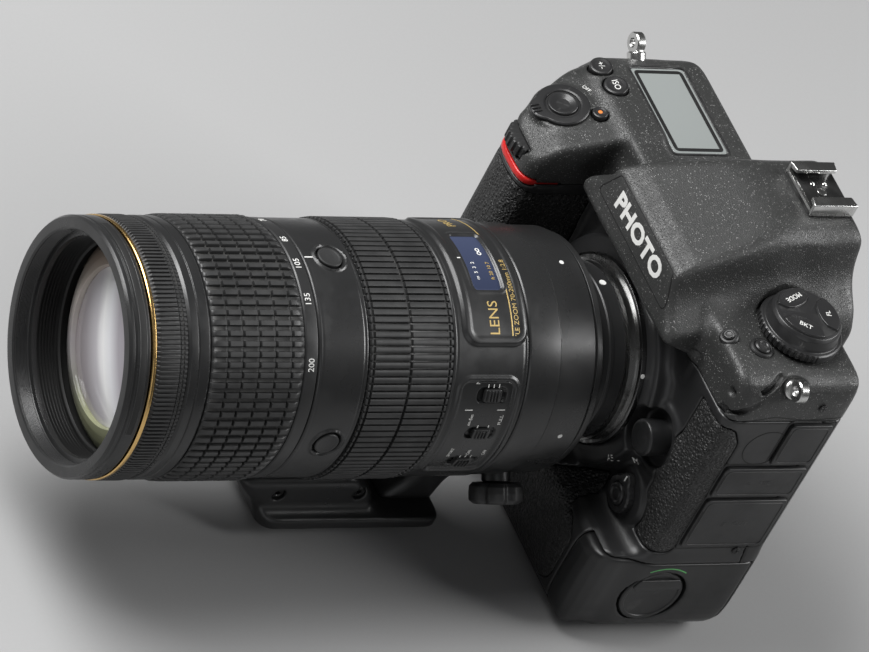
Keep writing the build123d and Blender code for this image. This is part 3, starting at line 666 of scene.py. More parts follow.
redTrim = makeMaterial("redTrim", (0.55, 0.012, 0.010), 0.38, "plain", relief=0.15, depth=0.00004,
                       edge=0.05,
                       edgeColor=(0.6, 0.1, 0.08, 1))
whiteMark = makeMaterial("whiteMark", (0.72, 0.72, 0.70), 0.5, "plain", relief=0.2, depth=0.00003,
                         edge=0.0, dust=0.0, vary=0.12)
goldMark = makeMaterial("goldMark", (0.62, 0.45, 0.17), 0.42, "plain", metal=0.4, relief=0.2,
                        depth=0.00003, edge=0.0, dust=0.0)
greenMark = makeMaterial("greenMark", (0.10, 0.42, 0.12), 0.5, "plain", relief=0.2, depth=0.00003,
                         edge=0.0, dust=0.0)
orangeMark = makeMaterial("orangeMark", (0.75, 0.22, 0.04), 0.5, "plain", relief=0.2, depth=0.00003,
                          edge=0.0, dust=0.0)
grooveDark = makeMaterial("grooveDark", (0.004, 0.004, 0.004), 0.6, "plain", relief=0.2, depth=0.00003,
                          edge=0.0, dust=0.0)


# glass keeps plain metallic and transmission; its base colour turns to a second tint towards grazing angles,
# a painted sheen
def makeGlass(name, tint, rough, transmission, sheenTint, sheenPower, ior=1.5, body=None):
    m, t, shader, place = newMaterial(name)
    facing = node(t, "ShaderNodeLayerWeight")
    facing.inputs[0].default_value = 0.35
    smudge = useGroup(t, wearGroup, place, Spread=0.0)
    base = mixColor(t, mathNode(t, "MULTIPLY", facing.outputs["Facing"], sheenPower), tint + (1.0,),
                    sheenTint + (1.0,))
    linked(t, base, shader.inputs["Base Color"])
    linked(t, ramp(t, smudge.outputs["Smudge"], 0.0, 1.0, rough, rough + 0.035), shader.inputs["Roughness"])
    shader.inputs["Transmission Weight"].default_value = transmission
    shader.inputs["IOR"].default_value = ior
    bumpInto(t, shader, noiseOf(t, place, 240, 2.0), 0.02, 0.00002)
    return m


opticalGlass = makeGlass("opticalGlass", (0.96, 0.97, 1.0), 0.005, 1.0, (0.72, 0.70, 0.92), 0.5)
windowGlass = makeGlass("windowGlass", (0.020, 0.026, 0.050), 0.06, 0.0, (0.09, 0.11, 0.20), 0.7)
# front group glass: a painted reflection, the soft box's bright streak and light and dark bands laid across
# the glass in its base colour
glassReflection = {"sweep": (0.683, 0.0, 0.730), "down": (0.726, 0.0, -0.688), "innerReach": 0.027,
           "outerReach": 0.036}


# base colour from position along one direction: the bands are a painted reflection, only the smudge is real
def makePaintedReflection(name, bands, rough, direction, reach):
    m, t, shader, place = newMaterial(name)
    across = node(t, "ShaderNodeVectorMath", operation="DOT_PRODUCT")
    linked(t, place, across.inputs[0])
    across.inputs[1].default_value = direction
    middle = direction[2] * 0.078
    sweep = node(t, "ShaderNodeMapRange")
    linked(t, across.outputs["Value"], sweep.inputs[0])
    for k, v in enumerate((middle - reach, middle + reach, 0.0, 1.0)):
        sweep.inputs[k + 1].default_value = v
    tones = node(t, "ShaderNodeValToRGB")
    while len(tones.color_ramp.elements) < len(bands):
        tones.color_ramp.elements.new(0.5)
    for stop, (spot, color) in zip(tones.color_ramp.elements, bands):
        stop.position = spot
        stop.color = color + (1.0,)
    linked(t, sweep.outputs[0], tones.inputs[0])
    smudge = useGroup(t, wearGroup, place, Spread=0.0)
    linked(t, mixColor(t, mathNode(t, "MULTIPLY", smudge.outputs["Smudge"], 0.06), tones.outputs[0],
                       (0.4, 0.4, 0.4, 1.0)),
           shader.inputs["Base Color"])
    linked(t, ramp(t, smudge.outputs["Smudge"], 0.0, 1.0, rough, rough + 0.03), shader.inputs["Roughness"])
    bumpInto(t, shader, noiseOf(t, place, 240, 2.0), 0.02, 0.00002)
    return m


# outer ring: painted reflection, dark brown through bright cream to olive bands; inner disc: painted
# reflection with a near-white soft-box streak
outerReflection = makePaintedReflection("outerReflection", [(0.0, (0.05, 0.03, 0.02)), (0.10, (0.42, 0.34, 0.28)),
        (0.24, (0.72, 0.66, 0.60)), (0.46, (0.42, 0.39, 0.40)),
                                     (0.66, (0.20, 0.20, 0.17)), (0.82, (0.30, 0.31, 0.19)),
        (1.0, (0.20, 0.21, 0.13))], 0.05, glassReflection["down"], glassReflection["outerReach"])
innerReflection = makePaintedReflection("innerReflection", [(0.0, (0.36, 0.32, 0.33)), (0.22, (0.42, 0.39, 0.41)),
        (0.38, (0.62, 0.60, 0.63)), (0.48, (0.97, 0.97, 0.97)), (0.56, (0.85, 0.85, 0.88)),
                                     (0.66, (0.45, 0.42, 0.46)), (1.0, (0.28, 0.26, 0.30))], 0.05,
                       glassReflection["sweep"], glassReflection["innerReach"])
displayGlass = makeGlass("displayGlass", (0.20, 0.215, 0.21), 0.10, 0.0, (0.34, 0.36, 0.355), 0.6)
screenGlass = makeGlass("screenGlass", (0.008, 0.009, 0.011), 0.05, 0.0, (0.05, 0.06, 0.08), 0.5)
mirrorGlass = makeMaterial("mirrorSilver", (0.85, 0.86, 0.87), 0.05, "plain", metal=1.0, relief=0.02,
                           depth=0.00001, edge=0.0, dust=0.0, vary=0.05)
print("materials made")


# outer form of the casing, the same outlines as the frame's parts but blended where they meet
casing = {"left": bodyLeft, "right": bodyRight, "front": -11.0, "rear": 40.0, "shoulder": 131.0,
          "middle": 126.0,
          "gripTop": 136.5, "gripNose": shellLow[1], "prismTop": topZ, "humpRear": coverHigh[1],
          "seam": 0.13, "gridStep": 0.62, "blend": 5.0, "padRise": 0.12, "padDepth": 1.3}
leftX, rightX, frontY, rearY = casing["left"], casing["right"], casing["front"], casing["rear"]
gripNose = casing["gripNose"]
slope = math.radians(15)


def slopeTop(y):
    return casing["gripTop"] - (-4.0 - y) * math.tan(slope)


def outerForm(grid):
    sh, mid, gt, pt = casing["shoulder"], casing["middle"], casing["gripTop"], casing["prismTop"]
    main = crossed(grid, [(leftX, 0, 12), (rightX, 0, 25), (rightX, sh, 12.5), (5, sh, 4), (-5, mid, 4),
                          (leftX, mid, 4)],
                   [(frontY, 0, 6), (rearY, 0, 6), (rearY, sh, 6), (frontY, sh, 6)],
                   [(leftX, frontY, 18), (rightX, frontY, 9), (rightX, rearY, 8), (leftX, rearY, 13)])
    shoulder = crossed(grid, [(leftX, 92, 4), (-28, 92, 4), (-28, gt, 4), (leftX, gt, 14)],
                       [(frontY, 92, 5), (rearY, 92, 5), (rearY, gt, 9), (frontY, gt, 5)],
                       [(leftX, frontY, 19), (-28, frontY, 6), (-28, rearY, 6), (leftX, rearY, 15)])
    lower = crossed(grid, [(leftX, 0, 12), (rightX - 1, 0, 25), (rightX - 1, 43, 5), (leftX, 43, 5)],
                    [(-29.5, 0, 20), (36, 0, 6), (36, 43, 4), (-29.5, 43, 13)],
                    [(leftX, -29.5, 10), (rightX - 1, -28, 14), (rightX - 1, 36, 7), (leftX, 36, 7)])
    upright = crossed(grid, [(leftX, 0, 12), (-22, 0, 11), (-22, 40, 11), (leftX, 40, 5)],
                      [(-41, 0, 14), (20, 0, 4), (20, 40, 4), (-41, 40, 13)],
                      [(leftX, -41, 16), (-22, -41, 15), (-22, 20, 6), (leftX, 20, 6)])
    grip = crossed(grid, [(leftX - 1, 10, 5), (-44, 10, 5), (-44, gt, 5.5), (leftX + 14, gt, 25),
                          (leftX - 1, gt - 11, 10)],
                   [(gripNose - 4, 10, 4), (24, 10, 4), (24, gt, 4), (-4, gt, 30),
                    (-34, slopeTop(-34), 14), (gripNose, slopeTop(-34) - 9, 6)],
                   [(leftX, 20, 7), (leftX, -4, 18), (leftX + 25, gripNose, 12), (-45, gripNose, 13.5),
                    (-45, 20, 7)])
    prism = crossed(grid, [(-38, 102, 5), (-38, mid + 0.5, 9), (-17, pt, 12), (17, pt, 12), (38, mid, 9),
                           (38, 102, 5)],
                    [(frontY, 102, 3), (frontY, 113, 3), (-26.5, 120, 3), (-25, 140, 4), (-17.5, 144, 8),
                     (17, pt, 30), (casing["humpRear"], pt, 6),
                     (casing["humpRear"], 102, 3)])
    # hollow sweep under the brow on both flanks, deeper beside the release dial
    for side, bite in ((1, 0.0), (-1, -1.2)):
        for a, b, r in (((44, -40, 137), (38.5, 26, 148.5), 16), ((38.5, 26, 148.5), (37, 62, 150), 16)):
            prism = softMax(prism, -capsule(grid, (a[0] * side, a[1], a[2]), (b[0] * side, b[1], b[2]),
                    r + bite), 3.5)
    # leaf shaped scoop in the roof behind the brow
    prism = softMax(prism, -ellipsoid(grid, (24.5, 30, 154.5), (6.5, 17, 3.4)), 1.5)
    prism = softMax(prism, -ellipsoid(grid, (-24.5, 30, 154.5), (6.5, 17, 3.4)), 1.5)
    boss = barField(grid, Place(lensPoint(0, 0, 0), (1, 0, 0), (0, -1, 0)), 40, -14, -2.4, 1.5)
    k = casing["blend"]
    form = softMin(main, shoulder, 2.5)
    form = softMin(form, lower, 7)
    form = softMin(form, upright, k)
    form = softMin(form, grip, k)
    form = softMin(form, prism, 4)
    return softMin(form, boss, 5)


def capsule(grid, a, b, r):
    a, b = np.array(a, float), np.array(b, float)
    d = b - a
    t = np.clip(((grid.x - a[0]) * d[0] + (grid.y - a[1]) * d[1] + (grid.z - a[2]) * d[2]) / float(d @ d),
                0, 1)
    return (np.sqrt((grid.x - a[0] - d[0] * t) ** 2 + (grid.y - a[1] - d[1] * t) ** 2
                    + (grid.z - a[2] - d[2] * t) ** 2) - r).astype(np.float32)


def ellipsoid(grid, c, s):
    q = np.sqrt(((grid.x - c[0]) / s[0]) ** 2 + ((grid.y - c[1]) / s[1]) ** 2
                + ((grid.z - c[2]) / s[2]) ** 2)
    return ((q - 1) * min(s)).astype(np.float32)


dial = {"x": 42.0, "y": 21.0, "top": 140.0, "well": 15.9}
release = {"x": 42.5, "z": 79.0, "dish": 10.5}
selector = {"x": 43.0, "z": 51.0, "base": 10.8}
panel = {"usb": (17.5, 34.5, 91.5, 111.0), "audio": (1.0, 34.5, 75.5, 89.5),
         "network": (1.0, 34.5, 50.0, 73.5)}
latch = {"y": 2.0, "z": 24.0, "well": 12.7, "studHole": 2.6, "arrowRadius": 15.0}
# small keys on the hand grip: x, y, radius, sign
gripKeys = {"exposure_button": (-79.5, -7.0, 4.1, "+/-"), "iso_button": (-69.5, -5.4, 4.4, "ISO"),
            "record_button": (-58.5, -15.5, 2.8, "")}
shutter = {"x": -64.8, "y": -26.8, "well": 6.1, "dish": 10.6}
frontAxis = (0, -1, 0)


def frontPlace(x, z, y):
    return Place((x, y, z), (1, 0, 0), frontAxis)


def sidePlace(y, z, x=None):
    return Place((rightX if x is None else x, y, z), (0, 1, 0), (1, 0, 0))


def slopePlace(x, y):
    return Place((x, y, slopeTop(y)), (1, 0, 0), (0, -math.sin(slope), math.cos(slope)))


def topPlace(x, y, z):
    return Place((x, y, z), (1, 0, 0), (0, 0, 1))


grid = Grid((leftX - 3.7, gripNose - 3.1, -2.5), (rightX + 3.7, casing["humpRear"] + 3.1, topZ + 3.1),
            casing["gridStep"])
form = outerForm(grid)
print("casing form on a grid of", form.shape)

# what is cut into the casing
cuts = {"dialWell": barField(grid, topPlace(dial["x"], dial["y"], 0), dial["well"],
                             casing["shoulder"] - 0.4, 175, 1.2)}
cuts["releaseDish"] = barField(grid, frontPlace(release["x"], release["z"], frontY), release["dish"], -1.6,
                               12, 1.6)
cuts["throat"] = barField(grid, Place(lensPoint(0, 0, 0), (1, 0, 0), frontAxis), 24.0, -44, 4, 0.4)
cuts["mirrorRoom"] = boxField(grid, (-21, flangeY + 15, axisZ - 19.4), (21, flangeY + 47, axisZ + 38), 0.3)
cuts["battery"] = boxField(grid, (-32, -23.6, 10.2), (60, 33.7, 37.9), 0.3)
cuts["latch"] = barField(grid, sidePlace(latch["y"], latch["z"]), latch["well"], -2.9, 4, 0.5)
cuts["cardDoor"] = boxField(grid, (leftX - 3, 5.7, 51.7), (leftX + 1.9, 32.3, 104.3), 0.5)
cuts["eyeTunnel"] = barField(grid, Place((0, casing["humpRear"], axisZ + 44), (-1, 0, 0), (0, 1, 0)), 11.5,
                             -14, 4, 0.4)
cuts["monitor"] = boxField(grid, (-37, rearY - 1.2, 44), (37, rearY + 4, 95), 0.6)
cuts["info"] = boxField(grid, (-26, rearY - 1.2, 20), (26, rearY + 4, 33), 0.6)
cuts["topWindow"] = boxField(grid, (-79.5, 4.5, casing["gripTop"] - 1.1), (-37.5, 27, 145), 0.6)
cuts["pad"] = barField(grid, Place((-60, rearY, 80), (-1, 0, 0), (0, 1, 0)), 9.5, -4, 6, 0.6)
for key, (y0, y1, z0, z1) in panel.items():
    cuts[key] = boxField(grid, (rightX - 1.75, y0 - 0.2, z0 - 0.2), (rightX + 3, y1 + 0.2, z1 + 0.2), 1.4)
# two bent ledges above the covers, on the front side corner
ledges = (((60.5, -10.7, 121.2), (64.5, 1.1, 125.8), (61.1, 6.3, 129.1)),
          ((59.8, -10.9, 112.5), (66.8, -3.9, 117.9), (66.7, -0.6, 121.2)))
for n, (a, b, c) in enumerate(ledges):
    cuts["ledge" + str(n)] = np.minimum(capsule(grid, a, b, 1.5), capsule(grid, b, c, 1.3))
cuts["lugRecess"] = ellipsoid(grid, (rightX - 1.0, 11.0, 128.6), (5.2, 6.2, 5.2))
for (dx, dy, dz, r, w, name) in ((-60, gripNose + 9 - 1.3, 118.5, 9.6, 3.1, "frontDial"),
                                 (-68, rearY - 9 + 1.6, 121, 9.6, 3.6, "rearDial")):
    cuts[name] = barField(grid, topPlace(dx, dy, dz), r, -w, w, 0.4)
cuts["shutterWell"] = barField(grid, slopePlace(shutter["x"], shutter["y"]), shutter["well"], -6, 6, 0.4)
for key, (x, y, r, mark) in gripKeys.items():
    cuts[key] = barField(grid, slopePlace(x, y), r + 0.4, -6, 6, 0.4)
cuts["shoeBed"] = boxField(grid, (-12.5, 26, topZ - 0.9), (12.5, 52, topZ + 6), 0.8)

# raised parts: dish under the shutter button, rim of the top window, screw base of the selector
raised = barField(grid, slopePlace(shutter["x"], shutter["y"]), shutter["dish"], -6, 0.25, 1.0)
topRim = boxField(grid, (-81.5, 2.5, 134), (-35.8, 29, casing["gripTop"] + 0.45), 2.0)
form = softMin(form, raised, 2.0)
form = softMin(form, np.maximum(topRim, form - 0.5), 0.8)
form = softMin(form, barField(grid, frontPlace(selector["x"], selector["z"], frontY), selector["base"], -3,
                              0.5, 1.2), 1.5)
form = softMin(form, barField(grid, frontPlace(release["x"], release["z"], frontY), release["dish"] + 2.2,
                              -4, 0.4, 2.0), 3.0)
form = np.where(cuts["releaseDish"] < 1.0, softMax(form, -cuts["releaseDish"], 1.0), form)
whole = form
for key, cut in cuts.items():
    if key not in ("battery", "mirrorRoom"):
        whole = softMax(whole, -cut, 0.5)
whole = np.maximum(np.maximum(whole, -cuts["battery"]), -cuts["mirrorRoom"])

# leather pads: grip, lower front, front corner; their outlines are soft shapes in the front and side views
seam = casing["seam"]
gripPad = softMax(polygonField(grid.x, grid.z, [(leftX - 4, 48, 4), (-45.2, 48, 6), (-45.2, 108.4, 4),
        (leftX - 4, 108.4, 4)]), grid.y - 4.0, 1.0)
lowerPad = softMax(polygonField(grid.x, grid.z, [(-41, 8, 6), (49, 8, 16), (49, 34, 8), (33, 46, 9),
        (31, 62, 6), (-41, 62, 6)]), grid.y + 9.5, 1.0)
lensBar = barField(grid, Place(lensPoint(0, 0, 0), (1, 0, 0), frontAxis), 42.3, -60, 60, 0.5)
lowerPad = softMax(lowerPad, -lensBar, 1.2)
lowerPad = softMax(lowerPad, -barField(grid, frontPlace(selector["x"], selector["z"], frontY),
        selector["base"] + 1.4, -30, 30, 0.5), 1.2)
cornerPad = softMax(polygonField(grid.y, grid.z, [(frontY - 4, 46, 3), (0.4, 46, 5), (0.4, 101, 6),
        (-4, 108, 5), (frontY - 4, 108, 4)]), 50.5 - grid.x, 1.0)
cornerPad = softMax(cornerPad, -barField(grid, frontPlace(selector["x"], selector["z"], frontY),
        selector["base"] + 1.4, -30, 30, 0.5), 1.2)
pads = np.minimum(np.minimum(gripPad, lowerPad), cornerPad)
accent = boxField(grid, (leftX + 6, gripNose - 3, 110.4), (-46, gripNose + 17, 113.6), 0.8)
doorBox = boxField(grid, (51, gripNose - 5, -5), (rightX + 5, 36, 41), 0.6)

depth = casing["padDepth"]
bare = np.maximum(whole, -np.maximum(np.minimum(pads, accent) - seam, -(form + depth)))
bare = softMax(bare, -(doorBox - seam), 0.4)
zone = {"top_cover": 112.0 + seam - grid.z, "base_plate": grid.z - (7.0 - seam)}
middleZone = np.maximum(grid.z - (112.0 - seam), 7.0 + seam - grid.z)
zone["front_shell"] = np.maximum(middleZone, grid.y - (30 - seam))
zone["rear_cover"] = np.maximum(middleZone, 30 + seam - grid.y)
looks = {"top_cover": paint, "base_plate": smoothPlastic, "front_shell": sidePlastic,
         "rear_cover": smoothPlastic}
for name in ("front_shell", "rear_cover", "top_cover", "base_plate"):
    piece = shellMesh(name + ".skin", grid, softMax(bare, zone[name], 0.5), looks[name])
    settle(piece, "camera", "casing", name)
    print(name, "with", len(piece.data.polygons), "faces")
covering = np.maximum(softMax(form - casing["padRise"], pads + seam, 1.0), -(form + depth - 0.15))
covering = np.maximum(covering, -(doorBox - seam))
for key in ("throat", "battery", "latch", "frontDial"):
    covering = np.maximum(covering, -cuts[key])
piece = shellMesh("gripLeather", grid, covering, leather)
settle(piece, "camera", "grip_rubber", "grip_covering")
strip = softMax(softMax(form - 0.25, accent + seam, 0.8), -(form + depth - 0.15), 0.2)
piece = shellMesh("redStrip", grid, np.maximum(strip, -cuts["frontDial"]), redTrim)
settle(piece, "camera", "red", "grip_accent")
end = softMax(softMax(form - 0.05, doorBox + seam, 0.8), -cuts["latch"], 0.5)
end = np.maximum(end, -barField(grid, sidePlace(latch["y"], latch["z"]), latch["studHole"], -8, 0, 0.1))
end = np.maximum(end, 50.9 + seam - grid.x)
piece = shellMesh("batteryEnd", grid, end, smoothPlastic)
settle(piece, "battery", "casing", "battery_door")
print("casing pieces done")


markSlot = {"whiteMark": "window_glass", "goldMark": "gold"}


# lettering, flat or bent round the barrel
def lettering(text, size, thick=0.05, bold=0.0):
    curve = bpy.data.curves.new("letters", "FONT")
    curve.body = text
    curve.size = size
    curve.align_x = "CENTER"
    curve.align_y = "CENTER"
    curve.extrude = thick
    curve.offset = bold
    curve.resolution_u = 3
    holder = bpy.data.objects.new("letters", curve)
    bpy.context.scene.collection.objects.link(holder)
    graph = bpy.context.evaluated_depsgraph_get()
    flat = bpy.data.meshes.new_from_object(holder.evaluated_get(graph))
    points = [tuple(v.co) for v in flat.vertices]
    faces = [tuple(p.vertices) for p in flat.polygons]
    bpy.data.objects.remove(holder)
    bpy.data.curves.remove(curve)
    bpy.data.meshes.remove(flat)
    return points, faces


def barrelText(name, text, size, angle, station, radius, material, body="lens", turn=0.0, lift=0.03):
    points, faces = lettering(text, size)
    c, s = cosSin(turn)
    spots = [(-(x * c - y * s), x * s + y * c, z + lift) for x, y, z in points]
    piece = meshObject(name, onBarrel(spots, angle, station, radius), faces, material, 20)
    return settle(piece, body, markSlot[material.name])


def placeText(name, text, size, place, a, b, h, body, turn=0.0, material=whiteMark,
              slotName="window_glass"):
    points, faces = lettering(text, size)
    c, s = cosSin(turn)
    spots = [place.at(a + x * c - y * s, b + x * s + y * c, h + z) for x, y, z in points]
    return settle(meshObject(name, spots, faces, material, 20), body, slotName)


# thin painted line or cord laid along points, a flat ribbon with a little thickness
def ribbon(name, path, normals, width, thick, material, body, slotName, closed=False):
    path = [np.array(p, float) for p in path]
    n = len(path)
    points, faces = [], []
    for k in range(n):
        ahead = path[(k + 1) % n] if closed or k < n - 1 else path[k]
        behind = path[k - 1] if closed or k > 0 else path[k]
        along = ahead - behind
        along /= max(np.linalg.norm(along), 1e-9)
        up = np.array(normals[k], float)
        up /= np.linalg.norm(up)
        side = np.cross(along, up)
        side /= max(np.linalg.norm(side), 1e-9)
        for a, b in ((-0.5, -0.3), (-0.5, 0.6), (-0.35, 1.0), (0.35, 1.0), (0.5, 0.6), (0.5, -0.3)):
            points.append(path[k] + side * width * a + up * thick * b)
    last = n if closed else n - 1
    for k in range(last):
        m = (k + 1) % n
        for j in range(6):
            i = (j + 1) % 6
            faces.append((k * 6 + j, m * 6 + j, m * 6 + i, k * 6 + i))
    if not closed:
        faces.append(tuple(range(6)))
        faces.append(tuple((n - 1) * 6 + j for j in reversed(range(6))))
    return settle(meshObject(name, points, faces, material, 40), body, slotName)


# lens, from the mount forwards; radii in millimetres, stations ahead of the flange
lens = {"barrel": 43.4, "collarFar": 50.6, "windowFar": 80.6, "focusFar": 113.0, "middleFar": 132.2,
        "tip": flangeY - rimLow[1], "trim": 193.4}
tip = lens["tip"]


def roundRect(a, b, middleA, middleB, halfA, halfB, corner):
    outA = np.abs(a - middleA) - halfA + corner
    outB = np.abs(b - middleB) - halfB + corner
    outside = np.hypot(np.maximum(outA, 0), np.maximum(outB, 0))
    return outside + np.minimum(np.maximum(outA, outB), 0) - corner


def step01(sd, width):
    t = np.clip(0.5 - sd / width, 0, 1)
    return t * t * (3 - 2 * t)


# closed ring whose outer skin follows height(a, station), a = millimetres round the barrel from the top
def carvedRing(name, near, far, radius, inner, height, stepAround, stepForward, material, paints=(),
               sharp=50.0):
    columns = int(round(2 * math.pi * radius / stepAround))
    ringCount = max(2, int(round((far - near) / stepForward)) + 1)
    angle = 2 * math.pi * np.arange(columns) / columns
    station = np.linspace(near, far, ringCount)
    wrapped = np.where(angle > math.pi, angle - 2 * math.pi, angle)
    around, forward = np.meshgrid(wrapped * radius, station, indexing="ij")
    lift = height(around, forward)
    rad = radius + lift
    pts = np.zeros((columns, ringCount + 2, 3))
    for j in range(ringCount + 2):
        r = inner if j in (0, ringCount + 1) else rad[:, j - 1]
        s = near if j == 0 else far if j == ringCount + 1 else station[j - 1]
        pts[:, j, 0] = r * np.sin(angle)
        pts[:, j, 1] = flangeY - s
        pts[:, j, 2] = axisZ + r * np.cos(angle)
    rows = ringCount + 2
    k, j = np.meshgrid(np.arange(columns), np.arange(rows), indexing="ij")
    n, m = (k + 1) % columns, (j + 1) % rows
    faces = np.stack([k * rows + j, k * rows + m, n * rows + m, n * rows + j], -1).reshape(-1, 4)
    piece = meshObject(name, pts.reshape(-1, 3), faces, material, sharp)
    for test, paintMaterial in paints:
        piece.data.materials.append(paintMaterial)
    if paints:
        middleAround = around + 0.5 * stepAround
        middleAhead = forward + 0.5 * (station[1] - station[0])
        chosen = np.zeros((columns, rows), int)
        for index, (test, paintMaterial) in enumerate(paints):
            hit = test(middleAround, middleAhead)
            chosen[:, 1:ringCount][hit[:, :ringCount - 1]] = index + 1
        piece.data.polygons.foreach_set("material_index", chosen.reshape(-1).astype(np.int32))
    return piece


arc = math.radians(1) * lens["barrel"]
window = {"angle": 17.0, "near": 59.0, "far": 70.0, "saddleFrom": -45.0, "saddleTo": 42.0}
panelArea = {"from": 57.0, "to": 114.0, "near": 54.5, "far": 77.0}
switchPlaces = {"focus_switch": (65.0, 4.6), "limit_switch": (85.0, 3.8), "stabiliser_switch": (105.5, 4.2)}
switchStation = 63.5


def saddleDistance(around, forward):
    middle = 0.5 * (window["saddleFrom"] + window["saddleTo"]) * arc
    half = 0.5 * (window["saddleTo"] - window["saddleFrom"]) * arc
    return roundRect(around, forward, middle, 64.2, half, 12.2, 5.5)


def windowDistance(around, forward):
    return roundRect(around, forward, 0, 0.5 * (window["near"] + window["far"]), window["angle"] * arc,
                     5.6, 1.6)


def panelDistance(around, forward):
    return roundRect(around, forward, 0.5 * (panelArea["from"] + panelArea["to"]) * arc,
                     0.5 * (panelArea["near"] + panelArea["far"]),
                     0.5 * (panelArea["to"] - panelArea["from"]) * arc, 11.2, 4.0)


def windowSection(around, forward):
    h = np.zeros_like(around)
    saddle = saddleDistance(around, forward)
    h += 0.85 * step01(saddle, 1.4) - 0.35 * step01(saddle + 2.6, 1.0)
    glass = windowDistance(around, forward)
    h += -0.75 * step01(glass, 0.7) + 0.2 * step01(np.abs(glass - 0.9) - 0.5, 0.6)
    board = panelDistance(around, forward)
    h += 0.45 * step01(np.abs(board) - 0.8, 0.9) - 0.55 * step01(board + 1.0, 0.8)
    for name, (angle, width) in switchPlaces.items():
        slot = roundRect(around, forward, angle * arc, switchStation, width / 2 + 0.3, 5.6, 1.8)
        h -= 1.3 * step01(slot, 0.5)
    for s in (52.6, 79.2):
        h -= 0.25 * step01(np.abs(forward - s) - 0.2, 0.35)
    h -= 0.6 * step01(np.minimum(forward - lens["collarFar"] - 0.3, lens["windowFar"] - forward) - 0.4, 0.8)
    return h


section = carvedRing("barrelWindowPart", lens["collarFar"] + 0.3, lens["windowFar"], lens["barrel"], 39.0,
                     windowSection, 0.42, 0.38,
                     lensSatin, [(lambda around, forward: windowDistance(around, forward) < -0.35,
                                  windowGlass)], 60)
settle(section, "lens", "lens_black", "lens_barrel", "distance_window")

rear = turned("barrelRear", [(22.6, 3.2), (29.4, 3.2), (30.6, 4.6), (30.4, 9.0), (30.9, 9.3), (30.9, 10.6),
                             (30.5, 11), (30.8, 17.2), (33.0, 18.2),
                             (39.4, 19.2), (41.0, 20.4), (41.2, 22.7), (39.4, 22.7), (39.4, 50.9),
                             (30, 50.9), (28, 30), (22.6, 14)], lensSatin)
settle(rear, "lens", "lens_black")
middle = {"station": 121.6, "rimRadius": 5.75, "wellRadius": 4.75}


def middleSection(around, forward):
    h = np.zeros_like(around)
    for k in range(-1, 3):
        d = np.hypot(around - k * 90 * arc, forward - middle["station"])
        h += 0.75 * step01(np.abs(d - middle["rimRadius"]) - 0.35,
                           0.9) - 1.9 * step01(d - middle["wellRadius"], 0.4)
        if k == 2:
            d2 = np.hypot(around + 180 * arc, forward - middle["station"])
            h += 0.75 * step01(np.abs(d2 - middle["rimRadius"]) - 0.35,
                               0.9) - 1.9 * step01(d2 - middle["wellRadius"], 0.4)
    for s in (114.6, 130.8):
        h -= 0.22 * step01(np.abs(forward - s) - 0.15, 0.3)
    h -= 0.5 * step01(np.minimum(forward - lens["focusFar"], lens["middleFar"] - forward) - 0.3, 0.7)
    return h


section = carvedRing("barrelMiddle", lens["focusFar"], lens["middleFar"], lens["barrel"], 39.0,
                     middleSection, 0.42, 0.4, lensSatin, (), 60)
settle(section, "lens", "lens_black")
tube = turned("barrelFront", [(39.0, 80.7), (40.6, 80.7), (40.6, 112.9), (39, 112.9)], innerBlack)
settle(tube, "lens", "lens_black")
tube = turned("barrelZoomSeat", [(38.5, 132.3), (40.4, 132.3), (40.4, 172.4), (43.2, 172.7), (43.6, 173.4),
                                 (43.6, 176.7), (43.25, 176.9), (43.25, 177.2),
                                 (43.6, 177.4), (43.6, 179.9), (42.9, 180.9), (42.0, 181.0), (42.0, 192.3),
                                 (42.0, 194.5), (38.5, 194.5)], lensSatin)
settle(tube, "lens", "lens_black")

# focus-hold buttons: dished discs in a raised rim
for k in range(4):
    spot = barrelPlace(90 * k, lens["barrel"], middle["station"])
    disc = turnedAt("focusHold" + str(k + 1), spot, [(0.02, 0.12), (1.5, 0.14), (3.0, 0.3), (3.6, 0.46),
            (4.15, 0.42), (4.35, 0.1), (4.35, -1.5),
                                                    (0.02, -1.5)][::-1], ribRubber, 0.25)
    settle(disc, "focus_hold_" + str(k + 1), "lens_black", "focus_hold_button_" + str(k + 1))

# rings with ribs
zoomBand = {"ribs": 80, "height": 1.25, "grooves": (142.5, 148.6, 154.7, 160.8, 166.4)}
along = [(137.5, 42.9, 0.0), (137.8, 43.0, 0.15), (139.2, 43.0, 0.75), (139.9, 43.0, 1.0)]
for s in zoomBand["grooves"]:
    along += [(s - 0.55, 43.0, 1.0), (s - 0.4, 43.0, 0.75), (s - 0.3, 42.9, 0.0), (s + 0.3, 42.9, 0.0),
              (s + 0.4, 43.0, 0.75), (s + 0.55, 43.0, 1.0)]
along += [(168.8, 43.0, 1.0), (169.8, 43.05, 0.92), (170.8, 43.1, 0.8), (171.4, 43.3, 0.55),
          (171.8, 43.5, 0.3), (172.2, 43.3, 0.1), (172.3, 42.9, 0.0)]
band = ribbedRing("zoomRubber", zoomBand["ribs"], [(0.0, 0.0), (0.035, 0.75), (0.09, 1.0), (0.30, 1.04),
        (0.52, 1.0), (0.575, 0.75), (0.61, 0.0), (0.8, -0.12)],
                  [(s, r, h * zoomBand["height"]) for s, r, h in along], 42.2, ribRubber, 38)
settle(band, "zoom", "rubber", "zoom_rubber")
ring = turned("zoomRing", [(40.9, 132.5), (42.9, 132.5), (43.5, 132.9), (43.5, 136.9), (43.1, 137.4),
                           (42.2, 137.4), (42.2, 172.3), (40.9, 172.3)], lensRing)
settle(ring, "zoom", "lens_black", "zoom_ring")
along = [(80.95, 42.9, 0.0), (81.1, 43.0, 0.9), (81.9, 43.0, 0.9), (82.0, 43.0, 0.0), (82.7, 43.0, 0.0),
         (82.8, 43.0, 1.0)]
